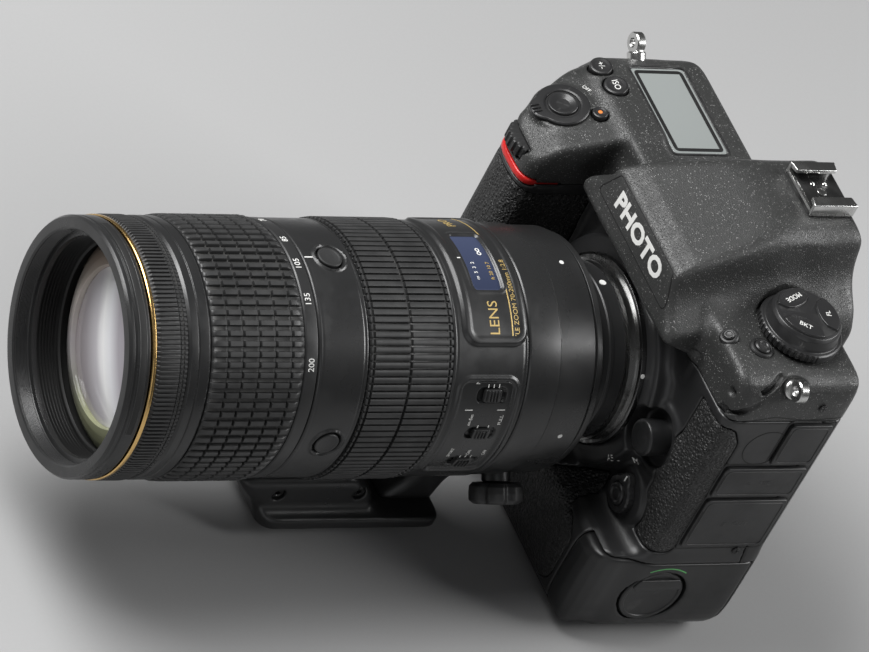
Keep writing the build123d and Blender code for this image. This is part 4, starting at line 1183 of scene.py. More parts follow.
for s in (97.2,):
    along += [(s - 0.6, 43.0, 1.0), (s - 0.45, 43.0, 0.3), (s - 0.35, 42.95, 0.0), (s + 0.35, 42.95, 0.0),
              (s + 0.45, 43.0, 0.3), (s + 0.6, 43.0, 1.0)]
along += [(111.0, 43.0, 1.0), (111.1, 43.0, 0.0), (111.8, 43.0, 0.0), (111.9, 43.0, 0.85),
          (112.5, 43.0, 0.8), (112.7, 42.8, 0.0)]
band = ribbedRing("focusRing", 109, [(0.0, -0.1), (0.05, 0.9), (0.11, 1.0), (0.71, 1.0), (0.77, 0.9),
        (0.82, -0.1)],
                  [(s, r, h * 1.1) for s, r, h in along], 40.9, ribRubber, 38)
settle(band, "focus", "rubber", "focus_ring")
along = [(181.0, 42.9, 0.0), (181.2, 43.1, 0.4), (182.2, 43.1, 0.4), (182.3, 43.0, 0.0),
         (182.7, 43.0, 0.0), (182.8, 43.1, 0.4), (183.6, 43.1, 0.4), (183.7, 43.0, 0.0),
         (184.0, 43.0, 0.0), (184.2, 43.1, 1.0), (191.2, 43.1, 1.0), (191.7, 43.1, 0.4), (192.3, 42.9, 0.0)]
band = ribbedRing("frontGrip", 176, [(0.0, 0.0), (0.1, 0.9), (0.2, 1.0), (0.5, 1.0), (0.6, 0.9),
        (0.7, 0.0)],
                  [(s, r, h * 0.75) for s, r, h in along], 42.05, ribRubber, 38)
settle(band, "lens", "rubber", "front_grip_ring")
trimFrom = lens["trim"] - 0.65
ring = turned("goldTrim", [(42.05, trimFrom), (43.55, trimFrom), (43.75, trimFrom + 0.3),
                           (43.75, trimFrom + 1.1), (43.5, trimFrom + 1.5),
                           (42.05, trimFrom + 1.5)], goldRing)
settle(ring, "lens", "gold", "trim_ring")
thread = []
for k in range(9):
    thread += [(38.5, tip - 5.2 + k * 0.5), (38.85, tip - 4.95 + k * 0.5)]
front = turned("filterRing", [(36.6, 194.8), (43.2, 194.8), (43.45, 195.3), (43.4, 199.6), (43.0, 199.9),
                              (43.0, 200.3), (43.4, 200.6), (43.4, tip - 0.9), (42.7, tip),
                              (39.4, tip), (38.7, tip - 0.5)] + thread[::-1] + [(38.4, tip - 5.6),
                                      (36.6, tip - 5.8)], lensSatin, 0.12)
settle(front, "lens", "lens_black", "filter_ring")
baffles = [(38.4, 196.6), (38.4, 183.0), (36.9, 183.0), (36.9, 187.0)]
for k in range(7):
    baffles += [(36.7 - 0.05 * k, 187.6 + 1.2 * k), (37.5, 187.9 + 1.2 * k), (37.5, 188.5 + 1.2 * k)]
baffles += [(36.5, 196.6)]
inner = turned("frontBaffle", baffles, innerBlack, 0.05)
settle(inner, "lens", "inner_black")
hood = {"from": -25.0, "to": 84.0, "station": 197.5, "wide": 2.2}
print("barrel rings done")


# glass of the lens: domed solids of revolution
def lensGlass(name, radius, near, thick, bulge, back, body, material=None):
    out, count = [], 18
    for k in range(count + 1):
        r = radius * k / count
        out.append((max(r, 0.02), near - back * (1 - (r / radius) ** 2)))
    for k in range(count + 1):
        r = radius * (1 - k / count)
        out.append((max(r, 0.02), near + thick + bulge * (1 - (r / radius) ** 2)))
    piece = turned(name, out, material or opticalGlass, 0, 128, 25)
    return settle(piece, body, "optical_glass")


frontGlass = turned("frontGlass", [(26.8, 181.4), (36.35, 181.4), (36.35, 183.4), (33.6, 184.9),
                                   (30.2, 186.2), (27.2, 187.0), (26.8, 185.6)], outerReflection, 0.15, 160, 30)
settle(frontGlass, "lens", "optical_glass", "fixed_lenses")
lensGlass("frontGlassInner", 26.75, 181.6, 3.6, 3.4, -1.5, "lens", innerReflection)
lensGlass("rearGlass", 17.8, 4.2, 2.6, 2.3, 1.2, "lens")
lensGlass("zoomGlassFront", 30.0, 120.2, 3.6, 3.8, -2.0, "zoom_group")
lensGlass("zoomGlassRear", 27.0, 108.2, 3.6, 2.8, 1.5, "zoom_group")
cell = turned("zoomCell", [(30.3, 106.0), (34.0, 106.0), (34.0, 128.0), (31.5, 128), (30.3, 126.6),
                           (30.9, 125), (30.3, 123.4), (30.3, 110)], innerBlack)
settle(cell, "zoom_group", "inner_black", "zoom_group")
retainer = turned("glassRetainer", [(36.9, 186.2), (36.9, 187.6), (35.6, 187.3), (34.9, 186.7),
                                    (35.2, 186.3)], innerBlack, 0.1)
settle(retainer, "lens", "inner_black")
innerTube = []
for k in range(12):
    innerTube += [(34.6 - 0.12 * k, 182.5 - k * 4.2), (33.4 - 0.12 * k, 181.2 - k * 4.2)]
tubeInside = turned("innerTube", [(37.5, 183)] + innerTube + [(37.5, 132)], innerBlack, 0.1)
settle(tubeInside, "lens", "inner_black")
diaphragm = turned("diaphragm", [(6.0, 70.0), (36.0, 69.0), (36.0, 71.0), (6.0, 70.3)], innerBlack, 0.05)
settle(diaphragm, "lens", "inner_black")


# tripod collar, its leaning neck and the foot
foot = {"half": 19.5, "low": 70.5, "plate": 65.5, "near": 38.0, "far": 109.0, "webHalf": 15.0,
        "webNear": 63.0,
        "neckNear": 31.5, "neckHalf": 12.0, "step": 0.55}
band = turned("collarRing", [(39.7, 23.0), (41.4, 23.0), (42.2, 24.2), (42.3, 37.6), (42.45, 38.0),
                             (42.95, 38.3), (43.0, 50.0), (42.7, 50.6), (39.7, 50.6)],
              lensSatin, 0.2)
footGrid = Grid((-foot["half"] - 2.5, flangeY - 128, axisZ - foot["low"] - 2.5),
                (foot["half"] + 2.5, flangeY - 29, axisZ - 38), foot["step"])
station = flangeY - footGrid.y
below = axisZ - footGrid.z
neck = polygonField(station, below, [(foot["neckNear"], 37, 1), (foot["neckNear"], 47, 3), (36.5, 56, 10),
        (foot["near"] + 0.2, 66.5, 2), (61.5, 66.5, 3), (53.5, 56, 9), (50.2, 45, 3), (50.2, 37, 1)])
neckWide = np.abs(footGrid.x) - (foot["neckHalf"] - 0.05 * (below - 45))
neckForm = softMax(neck, neckWide, 5.0)
neckForm = softMax(neckForm, -(np.sqrt(footGrid.x ** 2 + below ** 2) - 42.1), 0.6)
plate = softMax(polygonField(footGrid.x, station, [(-foot["half"], foot["near"], 5),
        (foot["half"], foot["near"], 5), (foot["half"], foot["far"], 7), (-foot["half"], foot["far"], 7)]),
                np.maximum(foot["plate"] - below, below - foot["low"]), 1.6)
web = softMax(polygonField(station, below, [(foot["webNear"], 67, 1), (108, 67, 1), (124.6, 50, 4),
        (75, 50, 9), (66.5, 58, 8)]), np.abs(footGrid.x) - foot["webHalf"], 4.5)
footForm = softMin(plate, web, 5.0)
footForm = np.maximum(footForm, -barField(footGrid, Place((0, flangeY - 84, axisZ - foot["low"]),
        (1, 0, 0), (0, 0, 1)), 3.3, -1, 9, 0.2))
for sx in (-1, 1):
    for s in (72.5, 104.5):
        footForm = np.maximum(footForm, -barField(footGrid,
                Place((sx * 15, flangeY - s, axisZ - 57.5), (0, 1, 0), (sx, 0, 0)), 2.6, -2.4, 3, 0.3))
neckPiece = shellMesh("collarNeck", footGrid, np.maximum(neckForm, -(footForm - 0.05)), lensSatin)
collar = joined("tripodCollar", [band, neckPiece])
settle(collar, "collar", "lens_black", "tripod_collar")
footPiece = shellMesh("tripodFoot", footGrid, footForm, lensSatin)
settle(footPiece, "collar", "lens_black", "tripod_foot")
for sx in (-1, 1):
    for s in (72.5, 104.5):
        spot = Place((sx * 12.9, flangeY - s, axisZ - 57.5), (0, 1, 0), (sx, 0, 0))
        head = turnedAt("footScrew", spot, [(0.9, -0.2), (0.9, 0.9), (1.1, 1.1), (2.0, 1.1), (2.3, 0.8),
                (2.3, -0.2)][::-1], blackSteel, 0.1, 32)
        settle(head, "collar", "black_steel")

knob = {"angle": 135.0, "station": 36.5, "seat": 43.0, "lobes": 6, "lobeDepth": 0.17}
knobPlace = barrelPlace(knob["angle"], knob["seat"], knob["station"])


def lobes(angle, r, h):
    deep = knob["lobeDepth"] * max(0.0, math.cos(knob["lobes"] * angle)) ** 1.6
    return 1.0 - deep * min(1.0, r / 9.0) ** 3


grip = turnedAt("collarKnob", knobPlace, [(0.02, 9.2), (3.4, 9.2), (3.7, 10.0), (7.8, 10.2), (9.5, 9.0),
        (9.6, 6.5), (9.4, 4.2), (8.2, 2.95), (5, 2.9), (2.4, 2.7), (2.4, 0.9), (0.02, 0.9)][::-1],
                ribRubber, 0.6, 144, 30, lobes)
settle(grip, "knob", "rubber", "collar_knob")
stem = turnedAt("knobStem", knobPlace, [(0.02, -2.0), (5.0, -2.0), (5.0, 2.2), (4.6, 2.6), (2.7, 2.6),
        (2.7, 0.5), (0.02, 0.5)], lensSatin, 0.2, 64)
settle(stem, "collar", "lens_black")


def barrelDot(name, angle, station, radius, size, material=whiteMark, body="lens", lift=0.06):
    points = [(size * math.cos(t), size * math.sin(t), lift)
              for t in np.linspace(0, 2 * math.pi, 24, endpoint=False)]
    points += [(x * 1.02, y * 1.02, -0.2) for x, y, h in points]
    faces = [tuple(range(24))] + [(k, k + 24, (k + 1) % 24 + 24, (k + 1) % 24)
                                  for k in range(24)] + [tuple(range(47, 23, -1))]
    return settle(meshObject(name, onBarrel(points, angle, station, radius), faces, material, 20), body,
                  markSlot[material.name])


def barrelLine(name, a0, s0, a1, s1, radius, width, material=whiteMark, slotName=None):
    n = max(2, int(abs(a1 - a0) / 1.5) + 2)
    path, normals = [], []
    for t in np.linspace(0, 1, n):
        angle = math.radians(a0 + (a1 - a0) * t)
        path.append(lensPoint(radius, angle, s0 + (s1 - s0) * t))
        normals.append((math.sin(angle), 0, math.cos(angle)))
    return ribbon(name, path, normals, width, 0.08, material, "lens", slotName or markSlot[material.name])


# marks on the barrel, plain numbers and signs only; each floor has its own radius
floorRadius = {"zoom": 43.5, "middle": 43.4, "saddle": 43.9, "line": 43.92, "index": 43.95, "window": 43.2,
               "panel": 42.92,
               "collar": 42.28, "mount": 30.6, "ring": 33.45, "filter": 43.42, "lip": 43.44}
for text, angle in (("200", 51), ("135", 22), ("105", 4), ("85", -12), ("70", -33)):
    barrelText("zoomNumber" + text, text, 3.1, angle, 135.0, floorRadius["zoom"], whiteMark, "zoom")
barrelLine("zoomIndex", 0, 127.0, 0, 131.2, floorRadius["middle"], 0.5)
for angle in (0, 88):
    barrelDot("collarDot" + str(angle), angle, 30.5, floorRadius["collar"], 0.85, whiteMark, "collar")
barrelDot("mountDot", -4, 7.4, floorRadius["mount"], 1.25)
barrelDot("ringDot", 60, -1.5, floorRadius["ring"], 0.8, whiteMark, "camera")
# near-black band where the hood groove runs, no groove is cut: painted shade of the channel
barrelLine("hoodGrooveShade", hood["from"], hood["station"], hood["to"], hood["station"], floorRadius["filter"],
           hood["wide"], grooveDark, "lens_black")
for side in (-1, 1):
    barrelLine("hoodLip" + str(side), hood["from"], hood["station"] + side * 1.2, hood["to"],
               hood["station"] + side * 1.2, floorRadius["lip"], 0.3, lensRing, "lens_black")
barrelLine("hoodEnd", hood["to"], hood["station"] - 1.2, hood["to"], hood["station"] + 1.2,
           floorRadius["lip"], 0.4, lensRing, "lens_black")
barrelLine("goldLine", window["saddleFrom"] + 4, 57.9, window["saddleTo"] - 4, 57.9, floorRadius["line"],
           0.4, goldMark)
barrelText("lensRange", "TELE ZOOM 70-200mm 1:2.8", 2.5, 21.0, 55.9, floorRadius["saddle"], goldMark)
barrelText("lensWord", "LENS", 5.4, 30, 64.5, floorRadius["saddle"], goldMark)
barrelText("lensClass", "PRO", 4.6, -31, 64.5, floorRadius["saddle"], goldMark)
barrelText("farSign", "∞", 4.2, -5, 62.4, floorRadius["window"], whiteMark)
barrelText("nearScale", "m  5  3  2", 1.9, 6.5, 67.0, floorRadius["window"], whiteMark)
barrelText("footScale", "ft 20 10 7", 1.9, 6.5, 61.2, floorRadius["window"], goldMark)
barrelLine("distanceIndex", 0, 70.6, 0, 72.6, floorRadius["index"], 0.45)
for name, (angle, width) in switchPlaces.items():
    spot = barrelPlace(angle, lens["barrel"], switchStation)
    w = width / 2
    pieces = [raisedShape("knobBase", spot, oblong(w, 3.2), -1.2, 0.35, dialPlastic, 0.3, 3, 40, 0.8)]
    for k in range(4):
        y = -1.8 + 1.2 * k
        pieces.append(raisedShape("knobRib", spot, between(-w + 0.3, w - 0.3, y - 0.3, y + 0.3), 0.2, 1.0,
                                  dialPlastic, 0.22, 3, 40, 0.2))
    knobPiece = joined(name + "Knob", pieces)
    settle(knobPiece, name, "black_plastic", name)
    for s in (-1, 0, 1) if name != "limit_switch" else (-1, 1):
        barrelLine(name + "Line" + str(s), angle - width * 0.9 - 1.2, switchStation + 2.1 * s,
                   angle - width * 0.5 - 1.4, switchStation + 2.1 * s, floorRadius["panel"], 0.35)
for text, angle, s, size in (("A", 58.6, 57.2, 2.2), ("M", 58.6, 69.8, 2.2), ("FULL", 77.5, 57.6, 1.8),
                             ("∞-5m", 77.5, 69.4, 1.8), ("OFF", 98.0, 57.4, 1.7), ("ON", 98.0, 63.5, 1.7),
                             ("SPORT", 98.0, 70.6, 1.6)):
    barrelText("switchMark%d-%d" % (angle, s), text, size, angle, s, floorRadius["panel"], whiteMark)
for s in (57.2, 69.8):
    barrelLine("panelRule" + str(s), 72.2, s, 72.2, s + 3, floorRadius["panel"], 0.3)
print("collar, foot and barrel marks done")


# mount: steel ring with screws, spring lip and index dot
mountPlace = Place(lensPoint(0, 0, 0), (1, 0, 0), frontAxis)
ring = turned("mountRing", [(24.0, 0.0), (24.3, -0.35), (25.4, -0.35), (25.6, 0.0), (32.6, 0.0),
                            (33.4, -0.5), (33.5, -2.4), (24.0, -2.4)], darkRing, 0.15)
settle(ring, "camera", "steel", "lens_mount_ring")
lips = []
for k in range(3):
    mid = 120 * k
    out = [((22.1) * math.sin(math.radians(mid + t)), 22.1 * math.cos(math.radians(mid + t)))
           for t in range(-30, 31, 3)]
    out += [((24.15) * math.sin(math.radians(mid + t)), 24.15 * math.cos(math.radians(mid + t)))
            for t in range(30, -31, -3)]
    lips.append(raisedShape("lip", mountPlace, out, -1.3, -0.1, steel, 0.15, 2, 40, 0.1))
piece = joined("mountLips", lips)
settle(piece, "camera", "steel")


def crossScrew(name, place, radius, height, material, body, slotName):
    head = turnedAt(name + "Head", place, [(0.02, height - 0.1), (radius * 0.75, height),
            (radius, height - 0.3), (radius, height - 1.0), (0.02, height - 1.0)][::-1], material, 0.12, 40)
    arms = []
    for turn in (0, 90):
        c, s = cosSin(turn)
        arm = oblong(radius * 0.62, radius * 0.13)
        arms.append(raisedShape(name + "Arm", place, [(x * c - y * s, x * s + y * c) for x, y in arm],
                                height - 0.4, height + 0.02, grooveDark, 0.02, 1, 40, 0.02))
    return settle(joined(name, [head] + arms), body, slotName)


for k in range(5):
    a = math.radians(36 + 72 * k)
    crossScrew("mountScrew" + str(k), Place((28.6 * math.sin(a), flangeY + 0.05,
            axisZ + 28.6 * math.cos(a)), (1, 0, 0), frontAxis), 2.05, 0.02, steel, "camera", "steel")
for k, (y, z) in enumerate(((26.0, 119.0), (26.0, 47.0))):
    crossScrew("sideScrew" + str(k), sidePlace(y, z, rightX + 0.02), 1.6, 0.0, blackSteel, "camera",
               "black_steel")
for k, (x, y) in enumerate(((-79, -20), (-79, 25), (40, 28), (40, -5), (-15, 28), (-15, -5))):
    crossScrew("baseScrew" + str(k), Place((x, y, 0.05), (1, 0, 0), (0, 0, -1)), 1.8, 0.0, blackSteel,
               "camera", "black_steel")
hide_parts("screws")


# finding the casing surface for lines drawn on it
def fieldAt(p):
    q = (np.array(p) - grid.low) / grid.step
    i = np.clip(q.astype(int), 0, np.array(form.shape) - 2)
    f = q - i
    total = 0.0
    for cx in (0, 1):
        for cy in (0, 1):
            for cz in (0, 1):
                w = (f[0] if cx else 1 - f[0]) * (f[1] if cy else 1 - f[1]) * (f[2] if cz else 1 - f[2])
                total += w * float(form[i[0] + cx, i[1] + cy, i[2] + cz])
    return total


def onSurface(start, direction, reach=40.0):
    d = np.array(direction, float)
    d /= np.linalg.norm(d)
    p = np.array(start, float)
    gone = 0.0
    while gone < reach:
        v = fieldAt(p)
        if v < 0.01:
            break
        move = max(0.02, v * 0.8)
        p = p + d * move
        gone += move
    n = np.array([fieldAt(p + e) - fieldAt(p - e) for e in np.eye(3) * 0.8])
    return p, n / max(np.linalg.norm(n), 1e-9)


def surfaceLine(name, corners, direction, back, width, thick, material, slotName, closed=True, radius=1.0,
                spacing=0.9, body="camera"):
    flat = softOutline([(p[0], p[1], p[2] if len(p) > 2 else radius) for p in corners], radius, 5, closed)
    path = []
    count = len(flat)
    for k in range(count if closed else count - 1):
        a, b = np.array(flat[k]), np.array(flat[(k + 1) % count])
        n = max(1, int(np.linalg.norm(b - a) / spacing))
        path += [a + (b - a) * j / n for j in range(n)]
    if not closed:
        path.append(np.array(flat[-1]))
    spots, ups = [], []
    for a, b in path:
        start = {"front": (a, back, b), "side": (back, a, b), "top": (a, b, back),
                 "back": (a, back, b)}[direction]
        way = {"front": (0, 1, 0), "side": (-1, 0, 0), "top": (0, 0, -1), "back": (0, -1, 0)}[direction]
        p, n = onSurface(start, way)
        spots.append(p)
        ups.append(n)
    return ribbon(name, spots, ups, width, thick, material, body, slotName, closed)


# nameplate on the front of the viewfinder housing
def surfaceText(name, text, size, x, z, turn=0.0, wide=1.0, bold=0.0, thick=0.05):
    points, faces = lettering(text, size, thick, bold)
    c, s = cosSin(turn)
    spots = []
    for a, b, h in points:
        p, n = onSurface((x + wide * (a * c - b * s), -46, z + a * s + b * c), (0, 1, 0))
        spots.append(p + n * (h + 0.05))
    return settle(meshObject(name, spots, faces, whiteMark, 20), "camera", "window_glass")


plate = {"word": "PHOTO", "size": 9.2, "line": 0.45}
surfaceLine("nameplateEdge", [(-23, 139.5, 2), (23, 139.5, 2), (29.5, 127.0, 2), (-29.5, 127.0, 2)],
            "front", -46, plate["line"], 0.12, grooveDark, "black_plastic")
surfaceText("nameplateWord", plate["word"], plate["size"], 0, 133.0, 0.0, 1.16, 0.34, 0.12)
surfaceLine("housingSeam", [(-40, 117.5), (-33, 119.6), (0, 121.0), (33, 119.6), (40, 117.5)], "front",
            -46, 0.4, 0.05, grooveDark, "black_plastic", False, 2.0)

# hand grip controls
shutterPlace = slopePlace(shutter["x"], shutter["y"])
cap = turnedAt("shutterCap", shutterPlace, [(0.02, 1.75), (2.4, 1.85), (4.4, 2.45), (5.2, 2.5),
        (5.45, 2.1), (5.45, -4), (0.02, -4)][::-1], steel, 0.3, 72)
cap.data.materials[0] = dialPlastic
settle(cap, "shutter_button", "black_plastic", "shutter_button")


def leverShape(angle, r, h):
    d = abs((angle + math.pi / 2 + math.pi) % (2 * math.pi) - math.pi)
    return 1.0 + (0.24 * max(0.0, math.cos(min(d * 2.6, math.pi / 2))) if r > 8.5 else 0.0)


lever = turnedAt("leverRing", shutterPlace, [(6.1, 0.35), (9.2, 0.35), (9.7, 0.7), (9.7, 1.6), (9.2, 2.0),
        (7.0, 2.05), (6.3, 1.9), (6.1, 1.5)], dialPlastic, 0.25, 96, 35, leverShape)
settle(lever, "power_lever", "black_plastic", "power_lever")
for s in (-1, 0, 1):
    ridge = raisedShape("leverRidge", shutterPlace, between(s * 1.5 - 0.35, s * 1.5 + 0.35, -11.6, -8.4),
                        1.7, 2.6, dialPlastic, 0.25, 3, 40, 0.3)
    settle(ridge, "power_lever", "black_plastic")
for text, a in (("OFF", 118), ("ON", 60)):
    placeText("powerMark" + text, text, 2.0, shutterPlace, 13.2 * math.cos(math.radians(a)),
              13.2 * math.sin(math.radians(a)), 0.3, "camera", a - 90)
for name, (x, y, r, mark) in gripKeys.items():
    place = slopePlace(x, y)
    cap = turnedAt(name + "Cap", place, [(0.02, 1.35), (r * 0.55, 1.4), (r * 0.8, 1.55), (r * 0.95, 1.4),
            (r, 1.0), (r, -3.4), (0.02, -3.4)][::-1], dialPlastic, 0.3, 64)
    settle(cap, name, "black_plastic", name)
    if mark:
        placeText(name + "Mark", mark, r * 0.72, place, 0, 0, 1.42, name)
    else:
        dot = turnedAt(name + "Dot", place, [(0.02, 1.55), (0.7, 1.5), (0.85, 1.3), (0.02, 1.3)][::-1],
                       orangeMark, 0.05, 24)
        settle(dot, name, "red")


def knurledWheel(name, place, radius, width, teeth, body, frameNode):
    tooth = 2 * math.pi / teeth
    columns, points = [], []
    for k in range(teeth):
        for part, h in ((0.0, -0.75), (0.12, -0.55), (0.28, 0.0), (0.62, 0.0), (0.78, -0.55), (0.9, -0.75)):
            columns.append((tooth * (k + part), h))
    rows = [(1.6, -width / 2), (radius - 1.6, -width / 2), (radius - 0.35, -width / 2 + 0.15),
            (radius, -width / 2 + 0.5), (radius, width / 2 - 0.5), (radius - 0.35, width / 2 - 0.15),
            (radius - 1.6, width / 2), (1.6, width / 2)]
    for a, h in columns:
        for r, z in rows:
            rr = r + (h if r > radius - 1 else 0)
            points.append(place.at(rr * math.cos(a), rr * math.sin(a), z))
    return settle(meshObject(name, points, latheFaces(len(columns), len(rows)), ribRubber, 35), body,
                  "rubber", frameNode)


knurledWheel("frontWheel", topPlace(-60, gripNose + 9 - 1.3, 118.5), 9.0, 5.0, 22, "front_dial",
             "front_dial")
knurledWheel("rearWheel", topPlace(-68, rearY - 9 + 1.6, 121), 9.0, 6.0, 22, "rear_dial", "rear_dial")

# top window: bevelled glass over a blank grey panel
windowPlace = topPlace(-58.5, 15.75, casing["gripTop"])
glass = raisedShape("topWindow", windowPlace, oblong(20.9, 11.1), -1.1, -0.25, displayGlass, 0.25, 3, 35,
                    1.6)
settle(glass, "camera", "window_glass", "display_windows")
surfaceLine("topWindowRim", [(-80.2, 3.7, 2.2), (-36.9, 3.7, 2.2), (-36.9, 27.8, 2.2), (-80.2, 27.8, 2.2)],
            "top", 143, 0.7, 0.35, dialPlastic, "black_plastic")
border = [windowPlace.at(a, b, -0.2) for a, b in softOutline([(-19.2, -9.4, 1.2), (19.2, -9.4, 1.2),
        (19.2, 9.4, 1.2), (-19.2, 9.4, 1.2)], 1.2, 5)]
ribbon("displayBorder", border, [(0, 0, 1)] * len(border), 1.5, 0.05, grooveDark, "camera", "window_glass",
       True)
backPlace = Place((0, rearY, 0), (-1, 0, 0), (0, 1, 0))
for name, (x0, x1, z0, z1) in (("monitorGlass", (-36.7, 36.7, 44.3, 94.7)),
                               ("infoGlass", (-25.7, 25.7, 20.3, 32.7))):
    raised = raisedShape(name, backPlace, between(x0, x1, z0, z1), -1.1, 0.1, screenGlass, 0.4, 3, 35, 1.5)
    settle(raised, "camera", "window_glass")
screenPanel = makeGlass("screenPanel", (0.02, 0.022, 0.026), 0.04, 0.0, (0.08, 0.09, 0.12), 0.6)
raised = raisedShape("monitorArea", backPlace, between(-32, 32, 48, 91), 0.0, 0.13, screenPanel, 0.02, 1,
                     35, 0.4)
settle(raised, "camera", "window_glass")


def pushButton(name, place, r, high, mark=None, material=None, body="camera", node=None, size=None,
               turn=0.0):
    cap = turnedAt(name, place, [(0.02, high - 0.15), (r * 0.6, high - 0.1), (r * 0.85, high),
                                 (r, high - 0.3), (r, -1.5), (0.02, -1.5)][::-1], material or dialPlastic,
                   0.25, 56)
    settle(cap, body, "black_plastic", *([node] if node else []))
    if mark:
        placeText(name + "Mark", mark, size or r * 0.9, place, 0, 0, high - 0.06, body, turn)
    return cap


# back: selector pad, second pad for upright shots, small buttons with plain signs
padPlace = Place((-60, rearY, 80), (-1, 0, 0), (0, 1, 0))


def padShape(angle, r, h):
    return 1.0 + 0.04 * math.cos(4 * angle) * min(1.0, r / 8.0)


pad = turnedAt("selectorPad", padPlace, [(0.02, 1.0), (2.6, 1.0), (3.2, 1.35), (5.6, 1.1), (7.4, 1.75),
        (8.6, 1.6), (9.0, 1.1), (9.0, -3), (0.02, -3)][::-1], dialPlastic, 0.4, 96, 35, padShape)
settle(pad, "multi_selector", "black_plastic", "multi_selector")
for k in range(4):
    a = math.radians(90 * k)
    arrow = raisedShape("padArrow", padPlace, [(6.9 * math.cos(a + t), 6.9 * math.sin(a + t)) if i
            else (8.1 * math.cos(a), 8.1 * math.sin(a)) for i, t in ((0, 0), (1, 0.12), (1, -0.12))],
                        1.3, 1.78, whiteMark, 0.03, 1, 35, 0.05)
    settle(arrow, "multi_selector", "window_glass")
for k, (x, z, mark) in enumerate(((-44.5, 89, "+"), (-44.5, 79, "-"), (-44.5, 69, "i"), (45.5, 90, ">"),
                                  (45.5, 80, "MENU"), (45.5, 70, "?"), (45.5, 60, "+"), (45.5, 50, "-"))):
    pushButton("backButton" + str(k), Place((x, rearY, z), (-1, 0, 0), (0, 1, 0)), 3.1, 1.2, mark,
               size=1.6 if len(mark) > 1 else 3.0)
pushButton("focusOn", Place((-49, rearY, 106), (-1, 0, 0), (0, 1, 0)), 4.0, 1.5, "ON", size=2.4)
pushButton("focusStick", Place((-72, rearY, 57), (-1, 0, 0), (0, 1, 0)), 4.2, 2.0)
for s in (0, 1):
    pushButton("smallBack" + str(s), Place((-32 + 12 * s, rearY, 36.8), (-1, 0, 0), (0, 1, 0)), 2.2, 0.9,
               "o", size=2.0)

# eyepiece: soft round frame and glass
eyePlace = Place((0, casing["humpRear"], axisZ + 44), (-1, 0, 0), (0, 1, 0))
ring = turnedAt("eyeCup", eyePlace, [(11.5, 0.0), (16.0, 0.0), (16.2, 1.2), (15.8, 3.2), (15.0, 4.0),
        (12.6, 4.0), (11.9, 3.2), (11.6, 1.8), (11.5, 0.4)], ribRubber, 0.5, 96)
settle(ring, "camera", "rubber", "eyepiece_frame")
eyeGlass = turnedAt("eyeGlass", eyePlace, [(0.02, -0.2), (6, -0.5), (11.2, -1.4), (11.2, -3),
        (0.02, -3)][::-1], screenGlass, 0.3, 72)
settle(eyeGlass, "camera", "optical_glass")

# release dial with three buttons and a knurled foot ring
dialPlace = topPlace(dial["x"], dial["y"], 0)
dialBase = casing["shoulder"] + 0.3


def dialKnurl(angle, r, h):
    if h > dialBase + 2.9 or r < 14.5:
        return 1.0
    return 1.0 - 0.025 * (math.cos(angle * 44) > 0.1) * (abs((math.degrees(angle) - 300 + 180) % 360
            - 180) < 60)


body = turnedAt("dialBody", dialPlace, [(0.02, dialBase), (14.9, dialBase), (15.2, dialBase + 0.3),
        (15.2, dialBase + 2.6), (14.6, dialBase + 3.1), (13.6, dialBase + 3.3), (13.3, dialBase + 4.2),
                                 (12.9, dial["top"] - 1.5), (12.1, dial["top"] - 0.35),
        (11.0, dial["top"] - 0.1), (0.02, dial["top"])], dialPlastic, 0.5, 264, 35, dialKnurl)
settle(body, "release_dial", "black_plastic", "release_dial")
for name, angle, mark, keyNode in (("modeKey", 205.0, "MODE", "mode_button"),
                                   ("bracketKey", 325.0, "BKT", "bracket_button"),
                                   ("flashKey", 85.0, "FL", "flash_button")):
    c, s = cosSin(angle)
    local = Place((dial["x"], dial["y"], 0), (c, s, 0), (0, 0, 1))
    rim = [(11.4 * math.cos(math.radians(t)), 11.4 * math.sin(math.radians(t))) for t in range(-42, 43, 6)]
    rim += [(5.2, 5.6), (4.1, 3.0), (3.8, 0), (4.1, -3.0), (5.2, -5.6)]
    key = raisedShape(name, local, rim, dial["top"] - 1.5, dial["top"] + 0.62, dialPlastic, 0.35, 4, 35,
                      0.9)
    settle(key, keyNode, "black_plastic", keyNode)
    edge = [(x * 1.03 - 0.2, y * 1.06) for x, y in rim]
    groove = raisedShape(name + "Gap", local, edge, dial["top"] - 0.9, dial["top"] + 0.06, grooveDark,
                         0.05, 1, 35, 0.9)
    settle(groove, "release_dial", "black_plastic")
    placeText(name + "Mark", mark, 2.7, local, 7.6, 0, dial["top"] + 0.66, keyNode, 90)
for k, (place, r) in enumerate(((Place((49.5, 3.0, casing["shoulder"]), (1, 0, 0), (0.07, 0, 1)), 2.9),
                                (Place((43.6, frontY + 3.6, casing["shoulder"] - 0.6), (1, 0, 0),
                                        (0, -0.47, 0.88)), 1.9))):
    cap = turnedAt("roundCap" + str(k), place, [(0.02, 1.0), (r * 0.5, 1.05), (r * 0.62, 1.3),
            (r * 0.85, 1.3), (r, 0.9), (r, -2.0), (0.02, -2.0)][::-1], dialPlastic, 0.15, 48)
    settle(cap, "camera", "black_plastic", *(["terminal_caps"] if k == 0 else []))
    well = turnedAt("capWell" + str(k), place, [(r + 0.2, 0.35), (r + 0.5, 0.55), (r + 1.1, 0.35),
            (r + 1.5, -0.2), (r + 1.5, -1.2), (r + 0.2, -1.2)], smoothPlastic, 0.15, 48)
    settle(well, "camera", "casing")

